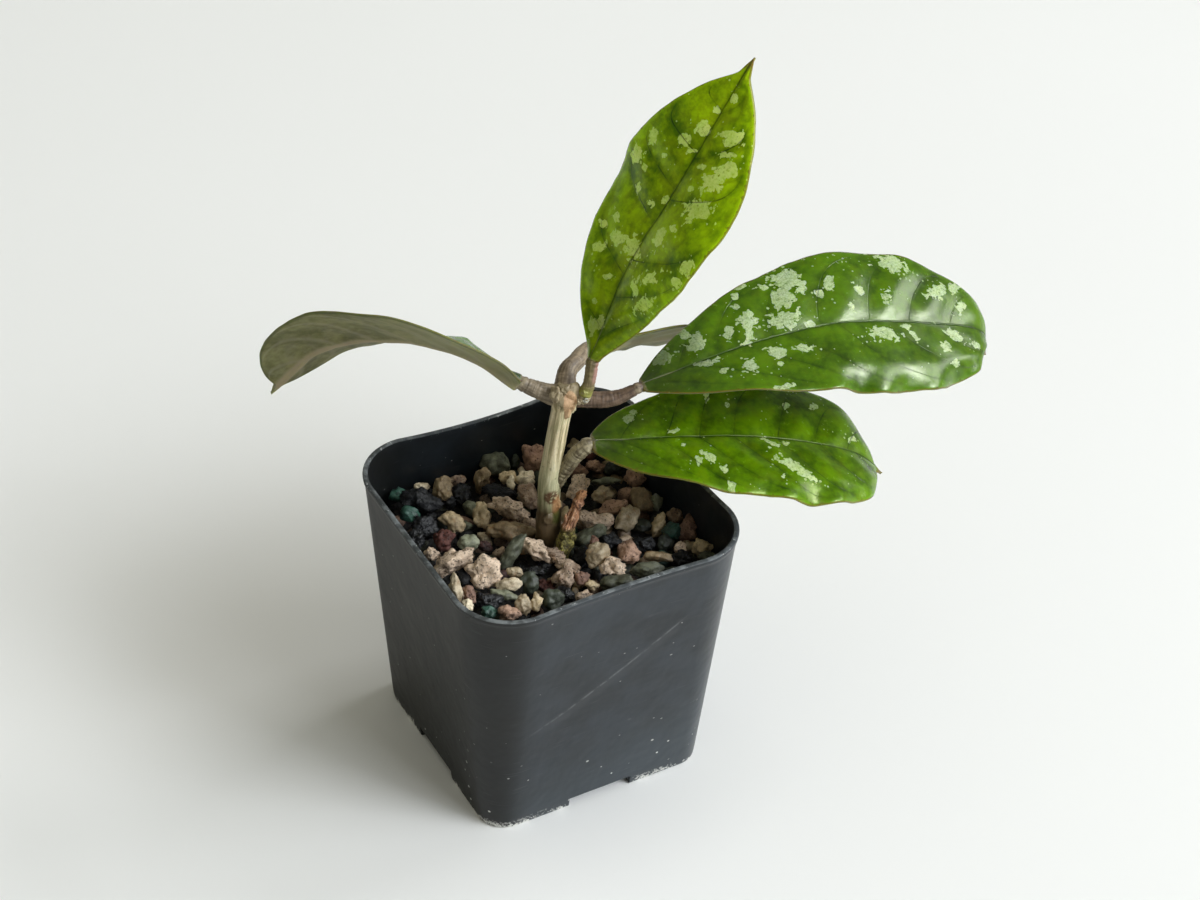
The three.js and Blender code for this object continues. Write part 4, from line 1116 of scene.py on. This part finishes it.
def make_petiole(name, material):
    """A leaf's stalk: swollen where it grows from the stem, ringed, and running out under the midrib."""
    leaf = LEAVES[name]
    points = [Vector(p) for p in leaf["petiole"]]
    points[0] = points[0] + (points[0] - points[1]).normalized() * 1.2
    own = Route(points).length
    midrib = Route(leaf["midrib"], even=True)
    for reach, drop in ((1.5, 0.1), (3, 0.2), (5, 0.3)):
        at, _, normal = blade_frame(leaf, midrib, reach / midrib.length)
        points.append(at - normal * drop)
    route = Route(points)
    root, waist, neck = leaf["thick"]
    bm = new_rod_shape()

    def radius(share, angle):
        s = share * route.length
        t = s / own
        base = mix(root, waist, smooth(t * 2)) if t < 0.5 else mix(waist, neck, smooth(t * 2 - 1))
        base = mix(base, 0.3, smooth((s - own + 0.5) / 3.6))
        way = Vector((math.cos(angle), math.sin(angle), 0))
        rings = 0.09 * unevenness(way, 0.8, 0, 0, s * 1.9) * (2.2 if name == "low" else 1)
        lump = 0.16 * unevenness(way, 1.6, 5, 0, s * 0.35)
        wide, reach = leaf["flare"]
        flare = wide * math.exp(-s / reach) + 0.06 * peak(s - own + 0.6, 0.5)
        seam = -0.1 * peak(s - own + 1.3, 0.25)
        return base + (rings + lump) * (1 - smooth((s - own) / 2)) + flare + seam

    draw_rod(bm, route, radius, 40, 120)
    run = bm.verts.layers.float.get("run")
    for vert in bm.verts:
        vert[run] = vert[run] * route.length / own
    return finished(bm, "stalk_" + name, material, ["petiole_" + name])


# ---- leaves -------------------------------------------------------------------------------------


def outline_at(leaf, t):
    """Half the blade's width along it, 1 at the widest place."""
    skew = math.log(0.5) / math.log(leaf["widest"] / BODY_END)
    body = max(math.sin(math.pi * min(t / BODY_END, 1) ** skew), 0) ** leaf["full"]
    tip = mix(NECK_WIDTH, TIP_WIDTH, t) * clamp((1 - t) / TIP_START)
    return (body**3 + tip**3) ** (1 / 3)


def blade_frame(leaf, route, t):
    """The midrib's point, the way towards the blade's right half, and the way its upper side looks."""
    at, run, _ = route.at(t)
    side = run.cross(Vector((0, 0, 1))).normalized()
    normal = side.cross(run)
    base, middle, tip = leaf["roll"]
    roll = math.radians(base * (1 - t) * (1 - 2 * t) + 4 * middle * t * (1 - t) + tip * t * (2 * t - 1))
    return (at, side * math.cos(roll) + normal * math.sin(roll),
            normal * math.cos(roll) - side * math.sin(roll))


def rib_phase(leaf, hand, t, reach, seed):
    """Counts the side veins of one half up the blade, with one at each whole number, and their spacing."""
    starts = leaf["ribs"][hand]
    sway = 0.022 * noise.noise(Vector((t * 4.5, reach * 1.1 + hand * 5, seed)))
    own = t - leaf["sweep"][hand] * reach**1.2 - 0.14 * reach**9 + sway
    k = 0
    while k < len(starts) - 2 and own > starts[k + 1]:
        k += 1
    gap = starts[k + 1] - starts[k]
    return k + (own - starts[k]) / gap, gap


def splash_at(spots, along, across, length):
    """How far into a pale splash a place is: 0.5 at its edge."""
    best = 0.0
    for share, middle, long, wide, turn in spots:
        a, b = along - share * length, across - middle
        if abs(a) > 9 or abs(b) > 9:
            continue
        c, s = math.cos(math.radians(turn)), math.sin(math.radians(turn))
        away = ((a * c + b * s) / long) ** 2 + ((b * c - a * s) / wide) ** 2
        best = max(best, 1 / (1 + away ** 1.2))
    return best


def scattered_splashes(leaf, rng, count):
    """Splashes for a leaf whose upper side is turned away, by chance."""
    spots = []
    for _ in range(count):
        share = rng.uniform(0.08, 0.92)
        across = rng.uniform(-0.85, 0.85) * leaf["half_width"] * outline_at(leaf, share)
        long = mix(0.8, 3.2, rng.random() ** 2)
        spots.append((share, across, long, long * rng.uniform(0.45, 0.9), rng.uniform(-90, 90)))
    return spots


def blade_sheet(bm, marks):
    """A sheet of cells with a lower and an upper face; u goes across it, from -1 to 1, and t along it."""
    bmesh.ops.create_grid(bm, x_segments=ACROSS, y_segments=ALONG, size=1.0)
    for vert in bm.verts:
        share = clamp((vert.co.y + 1) / 2)
        vert[marks["u"]] = vert.co.x
        vert[marks["t"]] = share - 0.45 * math.sin(2 * math.pi * share) / (2 * math.pi)
    for item in bmesh.ops.extrude_face_region(bm, geom=bm.faces[:], use_keep_orig=True)["geom"]:
        if isinstance(item, bmesh.types.BMVert):
            item[marks["top"]] = 1.0


def hem_at(leaf, hand, t, reach):
    """How far the blade's edge turns down, in waves along its middle stretch."""
    bulge = 0.68 + 0.32 * math.cos(2 * math.pi * (t - 0.49) / 0.155)
    hem = leaf["hem"][hand] * clamp((reach - 0.58) / 0.42) ** 1.5 * bulge
    return hem * (smooth((t - 0.32) / 0.18) * (1 - smooth((t - 0.88) / 0.12)))


def thickness_at(t, reach, far, half, neck, start):
    """The blade's thickness: as thick as the stalk where it starts, with rounded edges and a thin tip."""
    round_off = math.sqrt(1 - 0.75 * smooth((reach - 0.93) / 0.07) ** 2)
    round_off *= mix(1, math.sqrt(max(1 - reach * reach, 0.02)), math.exp(-far / 3))
    stalk = (2 * neck - RIB_THICK) * math.exp(-((far / 7) ** 1.4) - (reach * half / neck) ** 2 * 0.8)
    thick = (mix(RIB_THICK, EDGE_THICK, reach) + stalk) * round_off * start
    return thick * (1 - 0.55 * smooth((t - 0.93) / 0.07))


def make_blade(name, material, seed):
    """A leaf blade: a sheet of cells bent to the leaf's form, thickened, with sunken veins and a keel."""
    leaf = LEAVES[name]
    route = Route(leaf["midrib"], even=True)
    length, neck = route.length, leaf["thick"][2] * 1.1
    spots = SPLASHES.get(name) or scattered_splashes(leaf, random.Random(seed), 34)
    bm = bmesh.new()
    marks = {key: bm.verts.layers.float.new(key) for key in ("u", "t", "top", "rib", "mid", "edge", "splash")}
    lie = bm.verts.layers.float_vector.new("lie")
    blade_sheet(bm, marks)
    for vert in bm.verts:
        u, t, top = vert[marks["u"]], vert[marks["t"]], vert[marks["top"]] > 0.5
        reach, hand, sign, far = abs(u), int(u >= 0), (1 if u >= 0 else -1), t * length
        at, side, normal = blade_frame(leaf, route, t)
        bend = math.radians(leaf["fold"][hand] + leaf["curl"][hand] * reach)
        point_half = TIP_HALF * (1 - smooth((t - 0.985) / 0.015))
        half = max(leaf["half_width"] * outline_at(leaf, t), point_half, neck * math.exp(-far / 6))
        start = max(math.sqrt(clamp(1 - (1 - min(far / 1.1, 1)) ** 2)), 0.05)
        half *= start
        uneven = 1 + 0.011 * noise.noise(Vector((t * 26, hand * 9, seed))) * reach
        hem = hem_at(leaf, hand, t, reach)
        width = half * reach * uneven - 0.5 * hem
        look = normal * math.cos(bend) - side * (sign * math.sin(bend))
        point = at + side * (sign * width * math.cos(bend)) + normal * (width * math.sin(bend))
        # relief: swollen between the side veins, rippled along the edge, uneven all over
        phase, gap = rib_phase(leaf, hand, t, reach, seed)
        spacing, ends, quilt = gap * length, math.sin(math.pi * t) ** 0.5, leaf["quilt"][hand]
        rib = math.sin(math.pi * phase) * spacing / math.pi
        pillow = math.sin(math.pi * phase) ** 2
        swell = quilt * spacing * (pillow - 0.5) * math.sin(math.pi * min(reach * 1.15, 1) ** 0.8)
        ripple = leaf["wave"] * reach**3 * math.sin(math.pi * (leaf["waves"] * t + 0.6 * hand)) * ends
        skin = 0.22 * noise.noise(Vector((t * length * 0.16, u * half * 0.16, seed)))
        skin += 0.035 * noise.noise(Vector((t * length * 0.5, u * half * 0.5, seed + 4)))
        point = point + look * ((swell + ripple + skin * min(1, 3 * (1 - t))) * ends - hem)
        # thickness, with the midrib and the side veins sunk into the upper face
        groove = GROOVE * peak(u, RIB_SPREAD) * (1 - 0.7 * t)
        sunken = 0.8 * quilt * peak(rib, 0.6) * math.sin(math.pi * min(reach * 1.1, 1)) * ends
        thick = thickness_at(t, reach, far, half, neck, start)
        if top:
            point = point + look * (thick / 2 - groove * min(t * 8, 1) - sunken)
        else:
            point = point - look * (thick / 2 + 2 * groove + 0.6 * sunken)
        vert.co = point
        vert[lie] = (far, u * half, seed * 13.7)
        vert[marks["rib"]] = rib
        vert[marks["mid"]] = reach * half
        vert[marks["edge"]] = min((1 - reach) * half, (1 - t) * length)
        vert[marks["splash"]] = splash_at(spots, far, u * half, length) if top else 0.0
    return finished(bm, "leaf_" + name, material, ["blade_" + name])


# ---- the plant in its pot -----------------------------------------------------------------------

make_pot(moulded_plastic())
make_bed(near_black_grit())
make_stones({kind: stone_finish(kind) for kind in STONES})
make_stem(stem_bark())
make_stub(stub_bark())
for seed, leaf_name in enumerate(LEAVES):
    make_petiole(leaf_name, petiole_skin(leaf_name))
    make_blade(leaf_name, leaf_skin(leaf_name), seed + 1)
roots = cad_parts["roots"]
roots.data.materials.clear()
roots.data.materials.append(root_skin())

# ---- floor, light and camera --------------------------------------------------------------------


def add_floor():
    bm = bmesh.new()
    bmesh.ops.create_grid(bm, x_segments=1, y_segments=1, size=FLOOR_HALF)
    floor = new_object(bm, "floor", plain_floor())
    floor.location.z = -0.05 * MM


def add_lights():
    """Soft rectangular lights that look at the plant, in a faintly glowing room."""
    for name, (toward, distance, width, height, power, tint, hidden_from) in LIGHTS.items():
        lamp = bpy.data.lights.new(name, "AREA")
        lamp.shape, lamp.size, lamp.size_y, lamp.energy, lamp.color = "RECTANGLE", width, height, power, tint
        light = bpy.data.objects.new(name, lamp)
        way = Vector(toward).normalized()
        light.location = LIGHTS_LOOK_AT + way * distance
        light.rotation_euler = way.to_track_quat("Z", "Y").to_euler()
        if hidden_from:
            setattr(light, hidden_from, False)
        bpy.context.scene.collection.objects.link(light)
    world = bpy.data.worlds.new("room")
    world.use_nodes = True
    background = world.node_tree.nodes["Background"].inputs
    background["Color"].default_value, background["Strength"].default_value = ROOM_TINT, ROOM_GLOW
    bpy.context.scene.world = world


def add_camera():
    lens = bpy.data.cameras.new("camera")
    lens.lens, lens.sensor_width, lens.clip_start, lens.clip_end = LENS, 36, 0.01, 20
    camera = bpy.data.objects.new("camera", lens)
    turn = Matrix((VIEW_RIGHT, VIEW_UP, VIEW_BACK)).transposed().to_4x4()
    camera.matrix_world = Matrix.Translation(VIEW_FROM) @ turn
    bpy.context.scene.collection.objects.link(camera)
    bpy.context.scene.camera = camera


add_floor()
add_lights()
add_camera()
bpy.context.scene.view_settings.view_transform = "Standard"
